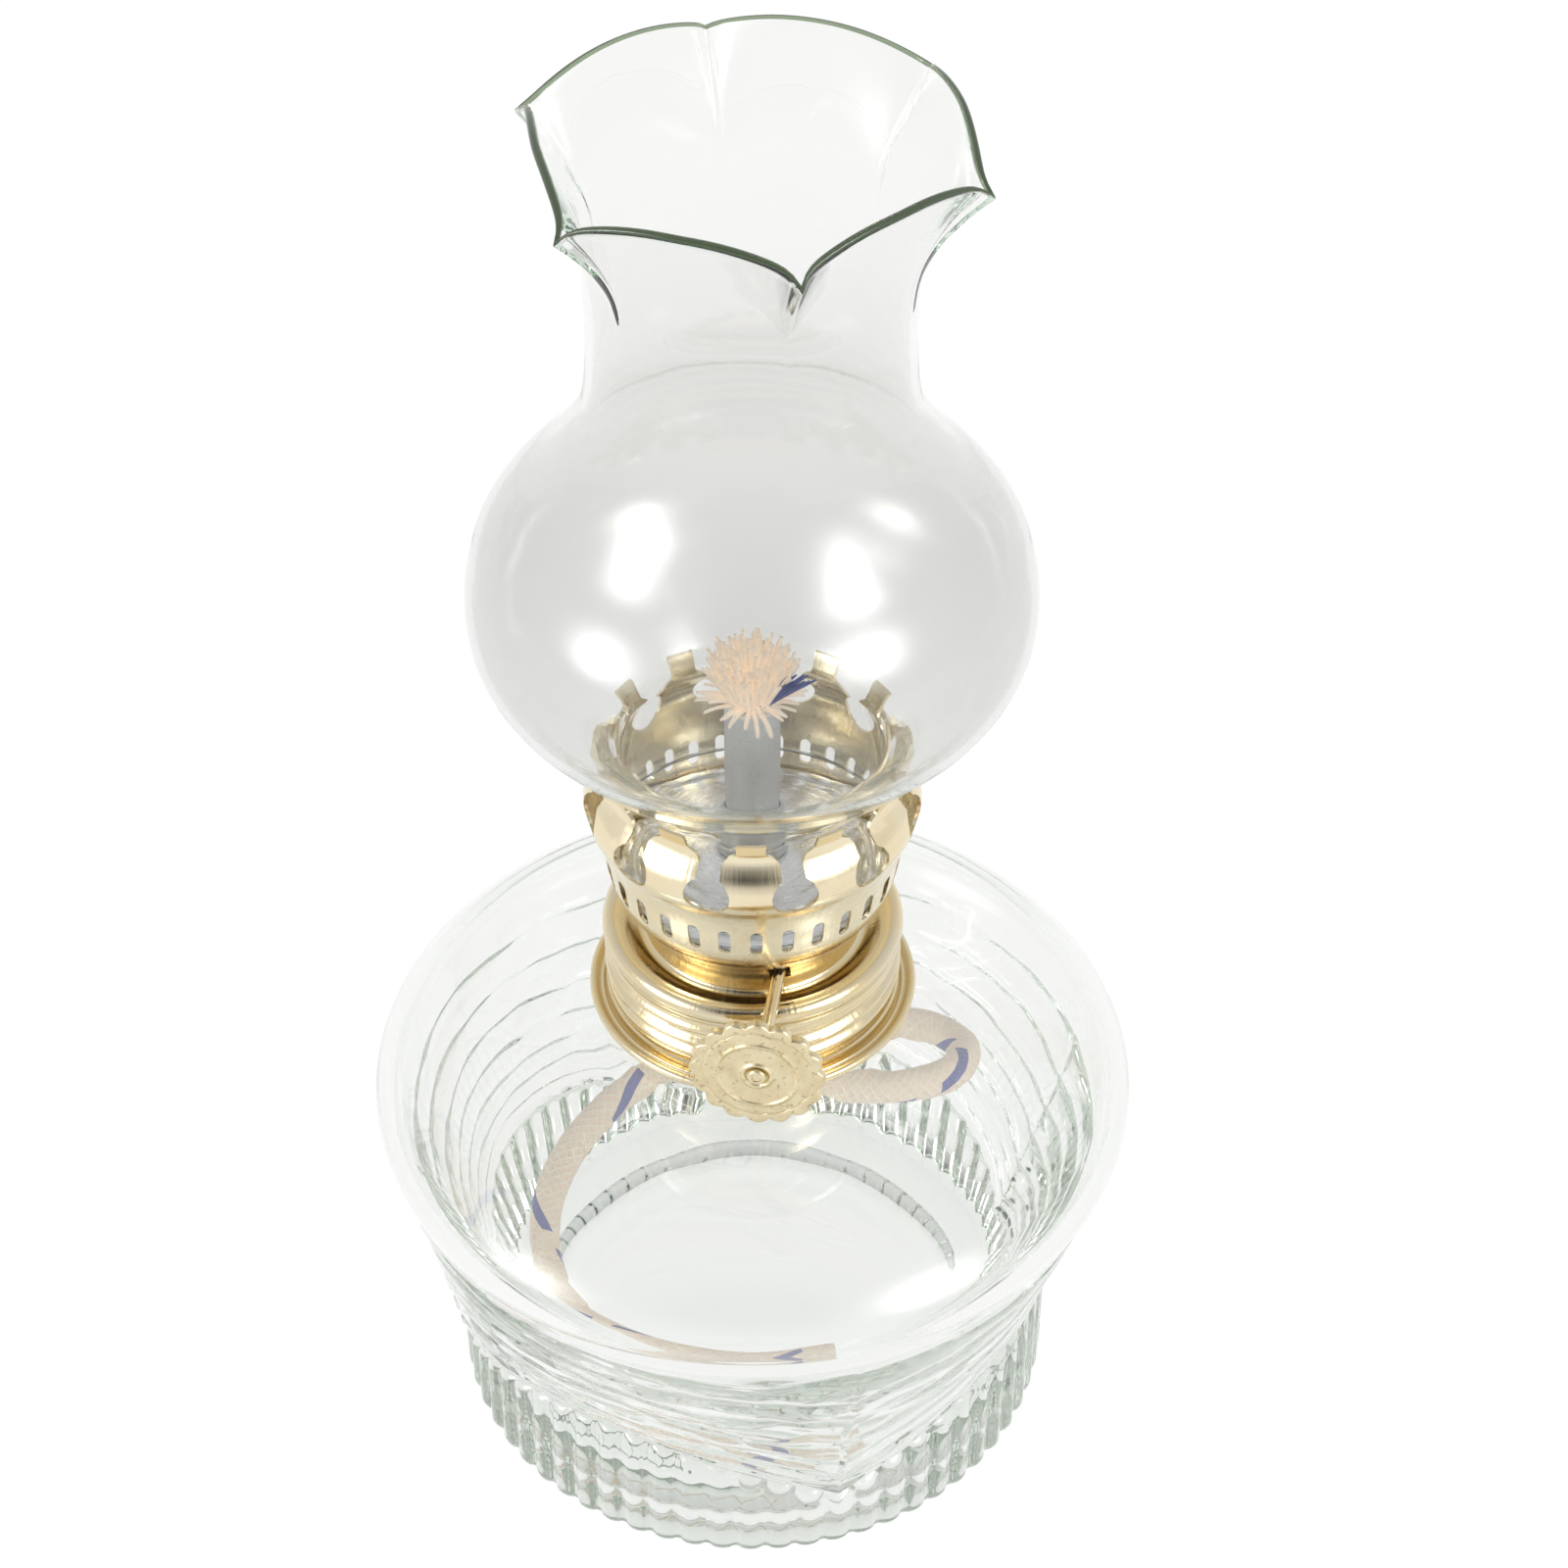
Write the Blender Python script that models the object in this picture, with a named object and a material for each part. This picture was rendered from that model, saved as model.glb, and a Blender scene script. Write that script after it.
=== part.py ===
"""Round-wick oil lamp: pressed glass font, brass screw burner, wick raiser and ruffled glass chimney.

Units are metres, +Z is up, the origin is the middle of the foot on the table, and the raiser knob
faces -Y. Heights are measured from the table.
"""

import math

import bmesh
import bpy
from mathutils import Matrix, Vector

MM = 0.001
TAU = 2 * math.pi

# Font
FLUTES = 64
FLUTE_CREST = 44.0 * MM
FLUTE_DEPTH = 1.6 * MM
CORNER_BEARING = TAU * 3 / 64
BAND_FOOT_CORNER = 10.5 * MM
BAND_FOOT_SIDE = 22.0 * MM
BAND_TOP = 50 * MM
# Radius in millimetres from the band's lower edge, at 0, to its top, at 1
BAND_CURVE = [(0, 44.3), (0.25, 46.1), (0.5, 48.2), (0.75, 50.5), (1, 52.7)]

# Screw thread shared by the glass mouth and the cap
PITCH = 2.5 * MM
THREAD_HEIGHT = 0.45 * MM
GLASS_THREAD_RADIUS = 19.1 * MM
CAP_THREAD_RADIUS = 19.75 * MM
SHEET = 0.55 * MM
THREAD_STEPS = 4
CAP_SIDES = 24

# Burner, with the wick tube's outline in millimetres
PRONGS = 12
VENTS = 30
TUBE_RADIUS = 3.8
TUBE_BORE = 3.2
TUBE_BOTTOM = 64
TUBE_TOP = 125

# Wick raiser: its shaft lies level beside the wick tube, turned a little to the left
SHAFT_HEIGHT = 89.5 * MM
SHAFT_OFFSET = 5.85 * MM
SHAFT_BEARING = math.radians(-8.3)
KNOB_REACH = 33.7 * MM
KNOB_LOBES = 18

# Wick
WICK_RADIUS = 2.5 * MM

# Chimney
GLASS_WALL = 1.4 * MM
CRIMPS = 6
CHIMNEY_SIDES = 42
CRIMP_BEARING = math.radians(11.7)
CRIMP_RADIUS = 29.3 * MM
CRIMP_HEIGHT = 209.1 * MM
LOBE_RADIUS = 25.8 * MM
LOBE_HEIGHT = 212.5 * MM


# ---------------------------------------------------------------- scene and materials
for old in list(bpy.data.objects):
    bpy.data.objects.remove(old, do_unlink=True)


def finish(name, colour, roughness, metallic=0.0, transmission=0.0):
    """A Principled material in one plain colour."""
    material = bpy.data.materials.new(name)
    material.use_nodes = True
    shader = material.node_tree.nodes["Principled BSDF"]
    shader.inputs["Base Color"].default_value = (*colour, 1)
    shader.inputs["Roughness"].default_value = roughness
    shader.inputs["Metallic"].default_value = metallic
    shader.inputs["Transmission Weight"].default_value = transmission
    return material


CLEAR_GLASS = finish("clear_glass", (0.86, 0.92, 0.88), 0.04, transmission=1.0)
THIN_GLASS = finish("thin_glass", (0.93, 0.95, 0.93), 0.02, transmission=1.0)
BRASS = finish("plated_brass", (0.86, 0.70, 0.40), 0.22, metallic=1.0)
TIN = finish("tinned_steel", (0.72, 0.72, 0.71), 0.30, metallic=1.0)
ZINC = finish("zinc_tube", (0.36, 0.37, 0.38), 0.45, metallic=0.8)
RUBBER = finish("seal_rubber", (0.10, 0.10, 0.10), 0.80)
COTTON = finish("cotton", (0.86, 0.74, 0.62), 0.90)
BLUE_COTTON = finish("blue_cotton", (0.10, 0.14, 0.42), 0.90)


# ---------------------------------------------------------------- shape tools
def solid(name, bm, material):
    """Turns a bmesh into a named object with its faces outwards and its round sides smooth."""
    bmesh.ops.remove_doubles(bm, verts=bm.verts, dist=1e-7)
    bmesh.ops.recalc_face_normals(bm, faces=bm.faces)
    mesh = bpy.data.meshes.new(name)
    bm.to_mesh(mesh)
    bm.free()
    mesh.materials.append(material)
    mesh.shade_smooth()
    mesh.set_sharp_from_angle(angle=math.radians(35))
    made = bpy.data.objects.new(name, mesh)
    bpy.context.scene.collection.objects.link(made)
    return made


def turned(name, outline, material, sides=32):
    """Spins a closed outline of (radius, height) in millimetres about Z."""
    bm = bmesh.new()
    verts = [bm.verts.new((r * MM, 0, z * MM)) for r, z in outline]
    edges = [bm.edges.new((verts[i - 1], verts[i])) for i in range(len(verts))]
    bmesh.ops.spin(
        bm, geom=verts + edges, cent=(0, 0, 0), axis=(0, 0, 1), angle=TAU, steps=sides, use_merge=True
    )
    return solid(name, bm, material)


def lofted(name, rings, material):
    """Joins rings of points one after another, and the last to the first.

    A ring of one point closes the shape there. Neighbouring rings have the same number of points,
    or one has a whole number of times as many as the other.
    """
    bm = bmesh.new()
    rows = [[bm.verts.new(point) for point in ring] for ring in rings]
    pairs = list(zip(rows, rows[1:]))
    if len(rows[0]) > 1:
        pairs.append((rows[-1], rows[0]))
    for low, high in pairs:
        coarse, fine = sorted((low, high), key=len)
        step = len(fine) // len(coarse)
        for i, start in enumerate(coarse):
            end = coarse[(i + 1) % len(coarse)]
            arc = [fine[(i * step + k) % len(fine)] for k in range(step + 1)]
            if len(coarse) == 1:
                for k in range(len(fine)):
                    bm.faces.new((start, fine[k], fine[(k + 1) % len(fine)]))
            elif step == 1:
                bm.faces.new((start, end, arc[1], arc[0]))
            else:
                for k in range(step):
                    bm.faces.new((start, arc[k + 1], arc[k]))
                bm.faces.new((start, end, arc[step]))
    return solid(name, bm, material)


def ring(sides, place, start=0.0):
    """Points at even steps of bearing, each given by place(bearing) as (radius, height)."""
    points = []
    for i in range(sides):
        bearing = start + TAU * i / sides
        radius, height = place(bearing)
        points.append((radius * math.sin(bearing), -radius * math.cos(bearing), height))
    return points


def plain_ring(sides, radius, height):
    """A level circle, from millimetres."""
    return ring(sides, lambda bearing: (radius * MM, height * MM))


def curve_through(points, at):
    """A smooth value at one place through (place, value) points, level outside them."""
    if at <= points[0][0]:
        return points[0][1]
    for i in range(len(points) - 1):
        (x0, y0), (x1, y1) = points[i], points[i + 1]
        if at <= x1:
            xa, ya = points[max(i - 1, 0)]
            xb, yb = points[min(i + 2, len(points) - 1)]
            t = (at - x0) / (x1 - x0)
            slope0 = (y1 - ya) / (x1 - xa) * (x1 - x0)
            slope1 = (yb - y0) / (xb - x0) * (x1 - x0)
            hermite0 = y0 * (2 * t**3 - 3 * t**2 + 1) + slope0 * (t**3 - 2 * t**2 + t)
            return hermite0 + y1 * (3 * t**2 - 2 * t**3) + slope1 * (t**3 - t**2)
    return points[-1][1]


def prism(bm, outline, depth, matrix):
    """Extrudes a closed (x, z) outline along Y by depth, about its own middle, and places it."""
    front = [bm.verts.new(matrix @ Vector((x, -depth / 2, z))) for x, z in outline]
    back = [bm.verts.new(matrix @ Vector((x, depth / 2, z))) for x, z in outline]
    bm.faces.new(front)
    bm.faces.new(back[::-1])
    for i in range(len(outline)):
        bm.faces.new((front[i - 1], back[i - 1], back[i], front[i]))


def cut(target, cutter, name):
    """Takes a hidden cutter out of a piece with an exact Boolean."""
    cutter.hide_render = True
    cutter.display_type = "WIRE"
    modifier = target.modifiers.new(name, "BOOLEAN")
    modifier.operation = "DIFFERENCE"
    modifier.solver = "EXACT"
    modifier.object = cutter


def box_cutter(name, size, place):
    """A hidden box, from millimetres, placed by a matrix."""
    x, z = size[0] / 2 * MM, size[2] / 2 * MM
    bm = bmesh.new()
    prism(bm, [(-x, -z), (x, -z), (x, z), (-x, z)], size[1] * MM, place)
    return solid(name, bm, BRASS)


# ---------------------------------------------------------------- font
def band_foot(bearing):
    """Height of the band's lower edge: an arch on each of four sides, meeting in low, sharp corners."""
    quarter = (bearing - CORNER_BEARING) % (TAU / 4)
    from_middle = abs(quarter - TAU / 8) / (TAU / 8)
    return BAND_FOOT_SIDE - (BAND_FOOT_SIDE - BAND_FOOT_CORNER) * from_middle**1.8


def band_ring(share):
    """A ring of the hollow-sided wall, at a share of the way from the band's edge to its top."""

    def place(bearing):
        low = band_foot(bearing)
        return curve_through(BAND_CURVE, share) * MM, low + (BAND_TOP - low) * share

    return ring(64, place)


def flute_radius(bearing):
    """Foot radius, at the crest of each rounded flute on whole steps and in a groove between."""
    return FLUTE_CREST - FLUTE_DEPTH * abs(math.sin(bearing * FLUTES / 2))


def helix_wall(sides, radius, low, high):
    """A threaded wall as rings from bottom to top: level rings whose radius follows the helix."""
    rings = []
    count = round((high - low) / PITCH * THREAD_STEPS)
    for level in range(count + 1):
        height = low + (high - low) * level / count
        strength = min(max(min(height - low, high - height) / PITCH, 0), 1)

        def place(bearing, height=height, strength=strength):
            phase = height / PITCH - bearing / TAU
            return radius + THREAD_HEIGHT * strength * math.cos(TAU * phase), height

        rings.append(ring(sides, place))
    return rings


def make_font():
    """The pressed glass reservoir: fluted foot, faceted band, round shoulder, dome and threaded mouth."""
    foot = [
        [(0, 0, 2.2 * MM)],
        plain_ring(64, 30, 1.8),
        plain_ring(64, 34, 0),
        plain_ring(128, 41.8, 0),
        ring(128, lambda b: (flute_radius(b) - 0.3 * MM, 1.0 * MM)),
        ring(128, lambda b: (flute_radius(b), 3.0 * MM)),
        ring(128, lambda b: (flute_radius(b), band_foot(b) - 0.6 * MM)),
    ]
    band = [band_ring(share) for share in (0, 0.2, 0.4, 0.6, 0.8, 1)]
    shoulder = [(54.4, 56), (53.5, 58.6), (51, 61.2), (46.5, 64), (40, 66.9), (32, 69.5), (24, 71.5)]
    dome = [plain_ring(64, 53.7, 52.8)] + [plain_ring(32, r, z) for r, z in shoulder]
    neck = [plain_ring(32, 20, 72.3)] + helix_wall(32, GLASS_THREAD_RADIUS, 73.2 * MM, 81.95 * MM)
    lip = [plain_ring(32, 18.2, 82.6), plain_ring(32, 17.6, 83.2), plain_ring(32, 15.4, 83.2)]
    inside = [(15, 82.8), (15, 73.4), (16.8, 71.3), (24, 69.6), (32, 67.5), (40, 64.8), (46, 62), (50.2, 59)]
    inside += [(52, 56), (50.6, 50.5), (46.8, 40), (42.4, 28), (40, 18), (37.5, 11), (32, 8), (20, 6.8)]
    cavity = [plain_ring(32, r, z) for r, z in inside]
    return foot + band + dome + neck + lip + cavity + [[(0, 0, 6.6 * MM)]]


lofted("glass_font", make_font(), CLEAR_GLASS)


# ---------------------------------------------------------------- burner sheet-metal
def make_cap():
    """The screw cap: rolled foot flange, threaded skirt, round shoulder, hollow ring and short neck."""
    sheet = SHEET / MM
    flange = [(22.2, 73.7), (22.7, 73.6), (23.0, 74.1), (22.8, 74.8), (22.2, 75.2), (21.2, 75.4)]
    outer_skirt = helix_wall(CAP_SIDES, CAP_THREAD_RADIUS + SHEET, 75.8 * MM, 84.55 * MM)
    shoulder = [(20.9, 85.4), (20.6, 86.6), (19.8, 87.3), (18.6, 87.0), (16.9, 85.7), (15.6, 85.3)]
    neck = [(14.6, 86.0), (14.4, 87.2), (14.4, 90.6), (13.85, 90.6), (13.85, 86.4), (15.2, 84.75)]
    under = [(17.1, 84.9), (18.7, 86.2), (19.7, 86.6), (20.2, 85.8), (20.2, 85)]
    inner_skirt = helix_wall(CAP_SIDES, CAP_THREAD_RADIUS, 75.8 * MM, 84.55 * MM)[::-1]
    edge = [(20.9 - sheet, 75.3), (21.2, 74.6), (21.8, 74.4)]
    rings = [plain_ring(CAP_SIDES, r, z) for r, z in flange] + outer_skirt
    rings += [plain_ring(CAP_SIDES, r, z) for r, z in shoulder + neck + under] + inner_skirt
    return rings + [plain_ring(CAP_SIDES, r, z) for r, z in edge]


def shaft_frame(along=0.0, height=SHAFT_HEIGHT):
    """Where the raiser shaft runs: local Y lies along it, pointing inwards from the knob."""
    turn = Matrix.Rotation(SHAFT_BEARING, 4, "Z")
    return turn @ Matrix.Translation((SHAFT_OFFSET, along, height))


cap = lofted("screw_cap", make_cap(), BRASS)
cut(cap, box_cutter("cap_shaft_hole", (2.9, 8, 2.9), shaft_frame(-13.2 * MM)), "shaft hole")


def keyhole():
    """The opening between two prongs: a round hole, a narrow neck, and a wide top beside the tabs."""
    hole_radius, hole_height, neck_half = 2.85, 109.9, 1.6
    reach = math.asin(neck_half / hole_radius)
    steps = 9
    outline = []
    for i in range(steps + 1):
        turn = reach + (TAU - 2 * reach) * i / steps
        outline.append((hole_radius * math.sin(turn), hole_height + hole_radius * math.cos(turn)))
    outline += [(-neck_half, 114.2), (-2.3, 115.1), (-3.5, 116), (-3.6, 117.4), (-5, 119.5)]
    outline += [(5, 119.5), (3.6, 117.4), (3.5, 116), (2.3, 115.1), (neck_half, 114.2)]
    return [(x * MM, z * MM) for x, z in outline]


def radial(bearing, radius):
    """A frame at one bearing, its Y pointing at the lamp's axis."""
    return Matrix.Rotation(bearing, 4, "Z") @ Matrix.Translation((0, -radius, 0))


def make_crown():
    """The chimney gallery: collar, flared bowl and the wall that the prongs are cut from."""
    outside = [(15.2, 86.6), (15.2, 89.6), (16.4, 91.0), (18.5, 94.0), (19.8, 97.2), (20.8, 102.5)]
    outside += [(22.2, 106.9), (22.9, 109.2), (22.3, 111.6), (20.3, 114.4), (20.4, 115.8), (21.3, 118.2)]
    sheet = SHEET / MM
    # The inner face, top to bottom, one sheet thickness inside the outer one.
    inside = [(20.9, 118.4), (19.85, 115.9), (19.75, 114.2), (21.7, 111.4), (22.3, 109.2)]
    inside += [(22.2 - sheet, 107.1), (20.8 - sheet, 102.6), (19.8 - sheet, 97.5), (18.0, 94.4)]
    inside += [(15.9, 91.3), (14.7, 89.9), (14.7, 86.6)]
    return outside + inside


crown = turned("crown_gallery", make_crown(), BRASS, sides=36)

slots = bmesh.new()
for number in range(PRONGS):
    prism(slots, keyhole(), 6 * MM, radial(TAU * (number + 0.5) / PRONGS, 21 * MM))
cut(crown, solid("prong_slots", slots, BRASS), "prong slots")

vents = bmesh.new()
for number in range(VENTS):
    half, low, high = 0.9 * MM, 97.6 * MM, 102.3 * MM
    shape = [(-half, low), (half, low), (half, high), (-half, high)]
    prism(vents, shape, 5 * MM, radial(math.radians(2) + TAU * number / VENTS, 20 * MM))
cut(crown, solid("vent_slots", vents, BRASS), "vents")
cut(crown, box_cutter("crown_shaft_hole", (2.9, 5, 2.9), shaft_frame(-14 * MM)), "shaft hole")

turned(
    "deck_plate",
    [(18.4, 96.2), (18.4, 96.8), (16.6, 97.4), (13.4, 98.1), (12.8, 98.9), (7, 100.3), (4.1, 100.5)]
    + [(4.1, 99.9), (7, 99.7), (12.4, 98.4), (13.0, 97.5), (16.4, 96.8)],
    TIN,
)
turned("tube_collar", [(4.1, 100.8), (4.6, 101.3), (4.6, 102.8), (4.1, 103.2)], ZINC)
turned("base_plate", [(4.1, 85.6), (13.4, 85.6), (13.4, 86.1), (4.1, 86.1)], TIN)
turned("seal_washer", [(14.4, 83.5), (18.0, 83.5), (18.0, 84.3), (14.4, 84.3)], RUBBER)


# ---------------------------------------------------------------- wick tube and raiser
tube = turned(
    "wick_tube",
    [
        (TUBE_BORE, TUBE_BOTTOM),
        (TUBE_RADIUS, TUBE_BOTTOM),
        (TUBE_RADIUS, TUBE_TOP),
        (TUBE_BORE, TUBE_TOP),
    ],
    ZINC,
    sides=24,
)
window = Matrix.Rotation(SHAFT_BEARING, 4, "Z") @ Matrix.Translation((4 * MM, 0, SHAFT_HEIGHT))
cut(tube, box_cutter("raiser_window", (3, 4.0, 5.4), window), "raiser window")

raiser = bpy.data.objects.new("raiser_axis", None)
bpy.context.scene.collection.objects.link(raiser)
raiser.matrix_world = shaft_frame()


def on_shaft(name, outline, material, sides):
    """Spins a closed outline of (radius, distance along the shaft), in millimetres, about the shaft."""
    made = turned(name, outline, material, sides)
    made.data.transform(Matrix.Rotation(-TAU / 4, 4, "X"))
    made.parent = raiser
    return made


knob = KNOB_REACH / MM
shaft_outline = [(0, 5.4), (0.9, 5.4), (0.9, -knob + 0.9), (0.55, -knob + 0.9), (0.55, -knob - 1.0)]
on_shaft("raiser_shaft", shaft_outline + [(0, -knob - 1.0)], BRASS, 12)
on_shaft("knob_hub", [(1.2, 1.3 - knob), (2.0, 1.3 - knob), (2.0, 3.2 - knob), (1.2, 3.2 - knob)], BRASS, 16)
on_shaft(
    "knob_rivet",
    [(0.85, -knob - 0.8), (1.7, -knob - 0.75), (1.6, -knob - 1.15), (1.2, -knob - 1.3), (0.85, -knob - 1.3)],
    BRASS,
    16,
)


def star_outline(teeth, root, tip):
    """A toothed wheel's outline, with flat-topped teeth."""
    outline = []
    for tooth in range(teeth):
        for radius, share in ((root, -0.30), (tip, -0.12), (tip, 0.12), (root, 0.30)):
            turn = TAU * (tooth + share) / teeth
            outline.append((radius * MM * math.cos(turn), radius * MM * math.sin(turn)))
    return outline


def make_wheel(name, along):
    """One toothed wheel of the raiser, bored to clear its shaft."""
    bm = bmesh.new()
    prism(bm, star_outline(8, 2.0, 2.75), 0.7 * MM, Matrix.Identity(4))
    wheel = solid(name, bm, TIN)
    bore = turned(name + "_bore", [(0, -3), (1.2, -3), (1.2, 3), (0, 3)], TIN, 12)
    bore.data.transform(Matrix.Rotation(-TAU / 4, 4, "X"))
    cut(wheel, bore, "bore")
    for piece in (wheel, bore):
        piece.data.transform(Matrix.Translation((0, along * MM, 0)))
        piece.parent = raiser
    return wheel


make_wheel("raiser_wheel_front", -0.9)
make_wheel("raiser_wheel_back", 0.9)


def make_bracket():
    """The saddle that carries the shaft: two bored cheeks joined by a back, open towards the tube."""
    bm = bmesh.new()
    near, far, low, high = -1.4 * MM, 3.9 * MM, -3.1 * MM, 2.3 * MM
    prism(bm, [(near, low), (far, low), (far, high), (near, high)], 6.4 * MM, Matrix.Identity(4))
    bracket = solid("raiser_bracket", bm, TIN)
    bracket.parent = raiser
    hollow = box_cutter("bracket_hollow", (12, 4.8, 12), Matrix.Translation((-2.9 * MM, 0, 0)))
    bore = turned("bracket_bore", [(0, -6), (1.2, -6), (1.2, 6), (0, 6)], TIN, 12)
    bore.data.transform(Matrix.Rotation(-TAU / 4, 4, "X"))
    for cutter in (hollow, bore):
        cutter.parent = raiser
    cut(bracket, hollow, "hollow")
    cut(bracket, bore, "bore")


make_bracket()


def knob_ring(radius, along, scallop):
    """A ring of the knob's disc, with its scalloped edge."""
    sides = KNOB_LOBES * 3
    points = []
    for i in range(sides):
        turn = TAU * i / sides
        edge = radius + scallop * (abs(math.cos(turn * KNOB_LOBES / 2)) - 1)
        points.append((edge * MM * math.cos(turn), along * MM, edge * MM * math.sin(turn)))
    return points


# Front face from the edge to the bore, with an embossed ring and a boss, then the flat back.
knob_face = [(9.2, -knob + 0.15, 0.75), (9.0, -knob - 0.15, 0.75), (6.3, -knob - 0.15, 0), (6.0, -knob + 0.05, 0)]
knob_face += [(5.6, -knob - 0.15, 0), (2.3, -knob - 0.15, 0), (2.0, -knob - 0.4, 0), (0.85, -knob - 0.4, 0)]
knob_face += [(0.85, -knob + 0.55, 0), (8.9, -knob + 0.55, 0.75)]
lofted("knob_disc", [knob_ring(*row) for row in knob_face], BRASS).parent = raiser


# ---------------------------------------------------------------- wick
turned("wick_core", [(0, 70.3), (2.8, 70.3), (2.8, 124.8), (0, 124.8)], COTTON, 16)
fray = [(0, 125.3), (4.0, 125.3), (6.2, 127.2), (7.0, 129.4), (6.6, 131.6), (5.0, 133.2), (2.6, 133.9), (0, 134.1)]
turned("wick_fray", fray, COTTON, 16)


def tube_along(name, points, radius, material, resolution=2):
    """A round cord along points, with closed ends."""
    curve = bpy.data.curves.new(name, "CURVE")
    curve.dimensions = "3D"
    curve.bevel_depth = radius
    curve.bevel_resolution = resolution
    curve.use_fill_caps = True
    spline = curve.splines.new("POLY")
    spline.points.add(len(points) - 1)
    for point, place in zip(spline.points, points):
        point.co = (*place, 1)
    curve.materials.append(material)
    made = bpy.data.objects.new(name, curve)
    bpy.context.scene.collection.objects.link(made)
    return made


def smooth_path(route, step):
    """Points at about one step along a smooth curve through a route, both in metres."""
    route = [Vector(point) for point in route]
    fine = []
    for i in range(len(route) - 1):
        before = route[max(i - 1, 0)]
        after = route[min(i + 2, len(route) - 1)]
        for k in range(16):
            t = k / 16
            a, b = route[i], route[i + 1]
            slope_a, slope_b = (b - before) / 2, (after - a) / 2
            point = a * (2 * t**3 - 3 * t**2 + 1) + slope_a * (t**3 - 2 * t**2 + t)
            fine.append(point + b * (3 * t**2 - 2 * t**3) + slope_b * (t**3 - t**2))
    fine.append(route[-1])
    total = sum((b - a).length for a, b in zip(fine, fine[1:]))
    count = max(round(total / step), 2)
    kept, travelled, wanted = [fine[0]], 0.0, total / count
    for a, b in zip(fine, fine[1:]):
        span = (b - a).length
        while travelled + span >= wanted * len(kept) and len(kept) < count:
            kept.append(a.lerp(b, (wanted * len(kept) - travelled) / span))
        travelled += span
    kept.append(fine[-1])
    return kept


# The blue tracer hangs out of the frayed head on the right.
tracer = [(7.4, -1.8, 127.2), (8.3, -2.0, 129.6), (9.0, -2.0, 132.0)]
tube_along("wick_tracer", [[v * MM for v in point] for point in tracer], 0.8 * MM, BLUE_COTTON)

# The wick's tail leaves the tube to the right, turns at the back wall, comes down the left side and
# ends on the floor at the front.
TAIL_ROUTE = [
    (0, 0, 70),
    (0, 0, 64),
    (3.5, 0.5, 56.5),
    (12.5, 2, 50),
    (21.5, 4.5, 46.8),
    (29.3, 10, 44),
    (31.6, 20, 39.6),
    (25.5, 29.5, 34.8),
    (12.5, 34, 30),
    (-3, 35, 26),
    (-17, 31.5, 21),
    (-28, 21.5, 16.3),
    (-32.5, 8, 12.9),
    (-31, -7, 11.6),
    (-24, -20.5, 11.3),
    (-12.5, -29, 11.3),
    (1, -31.5, 11.3),
    (14, -29, 11.3),
]
tail = smooth_path([[v * MM for v in point] for point in TAIL_ROUTE], 6 * MM)
tube_along("wick_tail", tail, WICK_RADIUS, COTTON)


# ---------------------------------------------------------------- chimney
def rim_place(bearing):
    """Radius and height of the ruffled rim: straight lobes between six low, pulled-out crimps."""
    sector = TAU / CRIMPS
    from_crimp = (bearing - CRIMP_BEARING) % sector
    chord = CRIMP_RADIUS * math.cos(sector / 2) / math.cos(from_crimp - sector / 2)
    pull = (chord - CRIMP_RADIUS * math.cos(sector / 2)) / (CRIMP_RADIUS * (1 - math.cos(sector / 2)))
    radius = LOBE_RADIUS + (CRIMP_RADIUS - LOBE_RADIUS) * pull
    return radius, LOBE_HEIGHT + (CRIMP_HEIGHT - LOBE_HEIGHT) * pull


def ruffled(radius, height, share, inward):
    """A chimney ring that takes up a share of the rim's ruffle."""

    def place(bearing):
        rim_radius, rim_height = rim_place(bearing)
        r = radius * MM * (1 - share) + rim_radius * share - inward * MM
        return r, height * MM * (1 - share) + rim_height * share

    return ring(CHIMNEY_SIDES, place, CRIMP_BEARING)


CHIMNEY_SIDE = [(19.2, 100.4), (19.4, 101), (19.4, 117.2), (20.2, 119), (22.9, 122), (26.2, 125), (31.9, 131)]
CHIMNEY_SIDE += [(35.6, 136.4), (37.1, 143), (36.3, 149.5), (33.5, 155.6), (28.9, 161), (24.6, 166.4)]
CHIMNEY_SIDE += [(21.7, 172.4), (20.5, 180), (20.5, 190)]
# Radius, height and share of the ruffle, from the neck to the rim
CHIMNEY_FLARE = [(20.9, 196, 0.08), (22.2, 202, 0.35), (24, 206, 1)]


def chimney_wall(inward):
    """The chimney's rings from the fitter up, on its outside or a wall's thickness inside."""
    wall = []
    for i, (radius, height) in enumerate(CHIMNEY_SIDE):
        before = CHIMNEY_SIDE[max(i - 1, 0)]
        after = CHIMNEY_SIDE[min(i + 1, len(CHIMNEY_SIDE) - 1)]
        rise, run = after[1] - before[1], after[0] - before[0]
        slope = math.hypot(rise, run)
        wall.append(ruffled(radius - inward * rise / slope, height + inward * run / slope, 0, 0))
    return wall + [ruffled(radius, height, share, inward) for radius, height, share in CHIMNEY_FLARE]


lofted("chimney", chimney_wall(0) + chimney_wall(GLASS_WALL / MM)[::-1], THIN_GLASS)
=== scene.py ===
"""Looks of a round-wick oil lamp: pressed glass, plated brass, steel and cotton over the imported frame.

Lengths are in millimetres in the tables and in metres in every mesh. A bearing is an angle about the
lamp's axis, from the raiser knob's side round to the right. Heights are measured from the table.
"""

import enum
import logging
import math
from collections.abc import Callable, Sequence
from dataclasses import dataclass, field

import bmesh
import bpy
import numpy as np
from mathutils import Matrix, Vector


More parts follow.
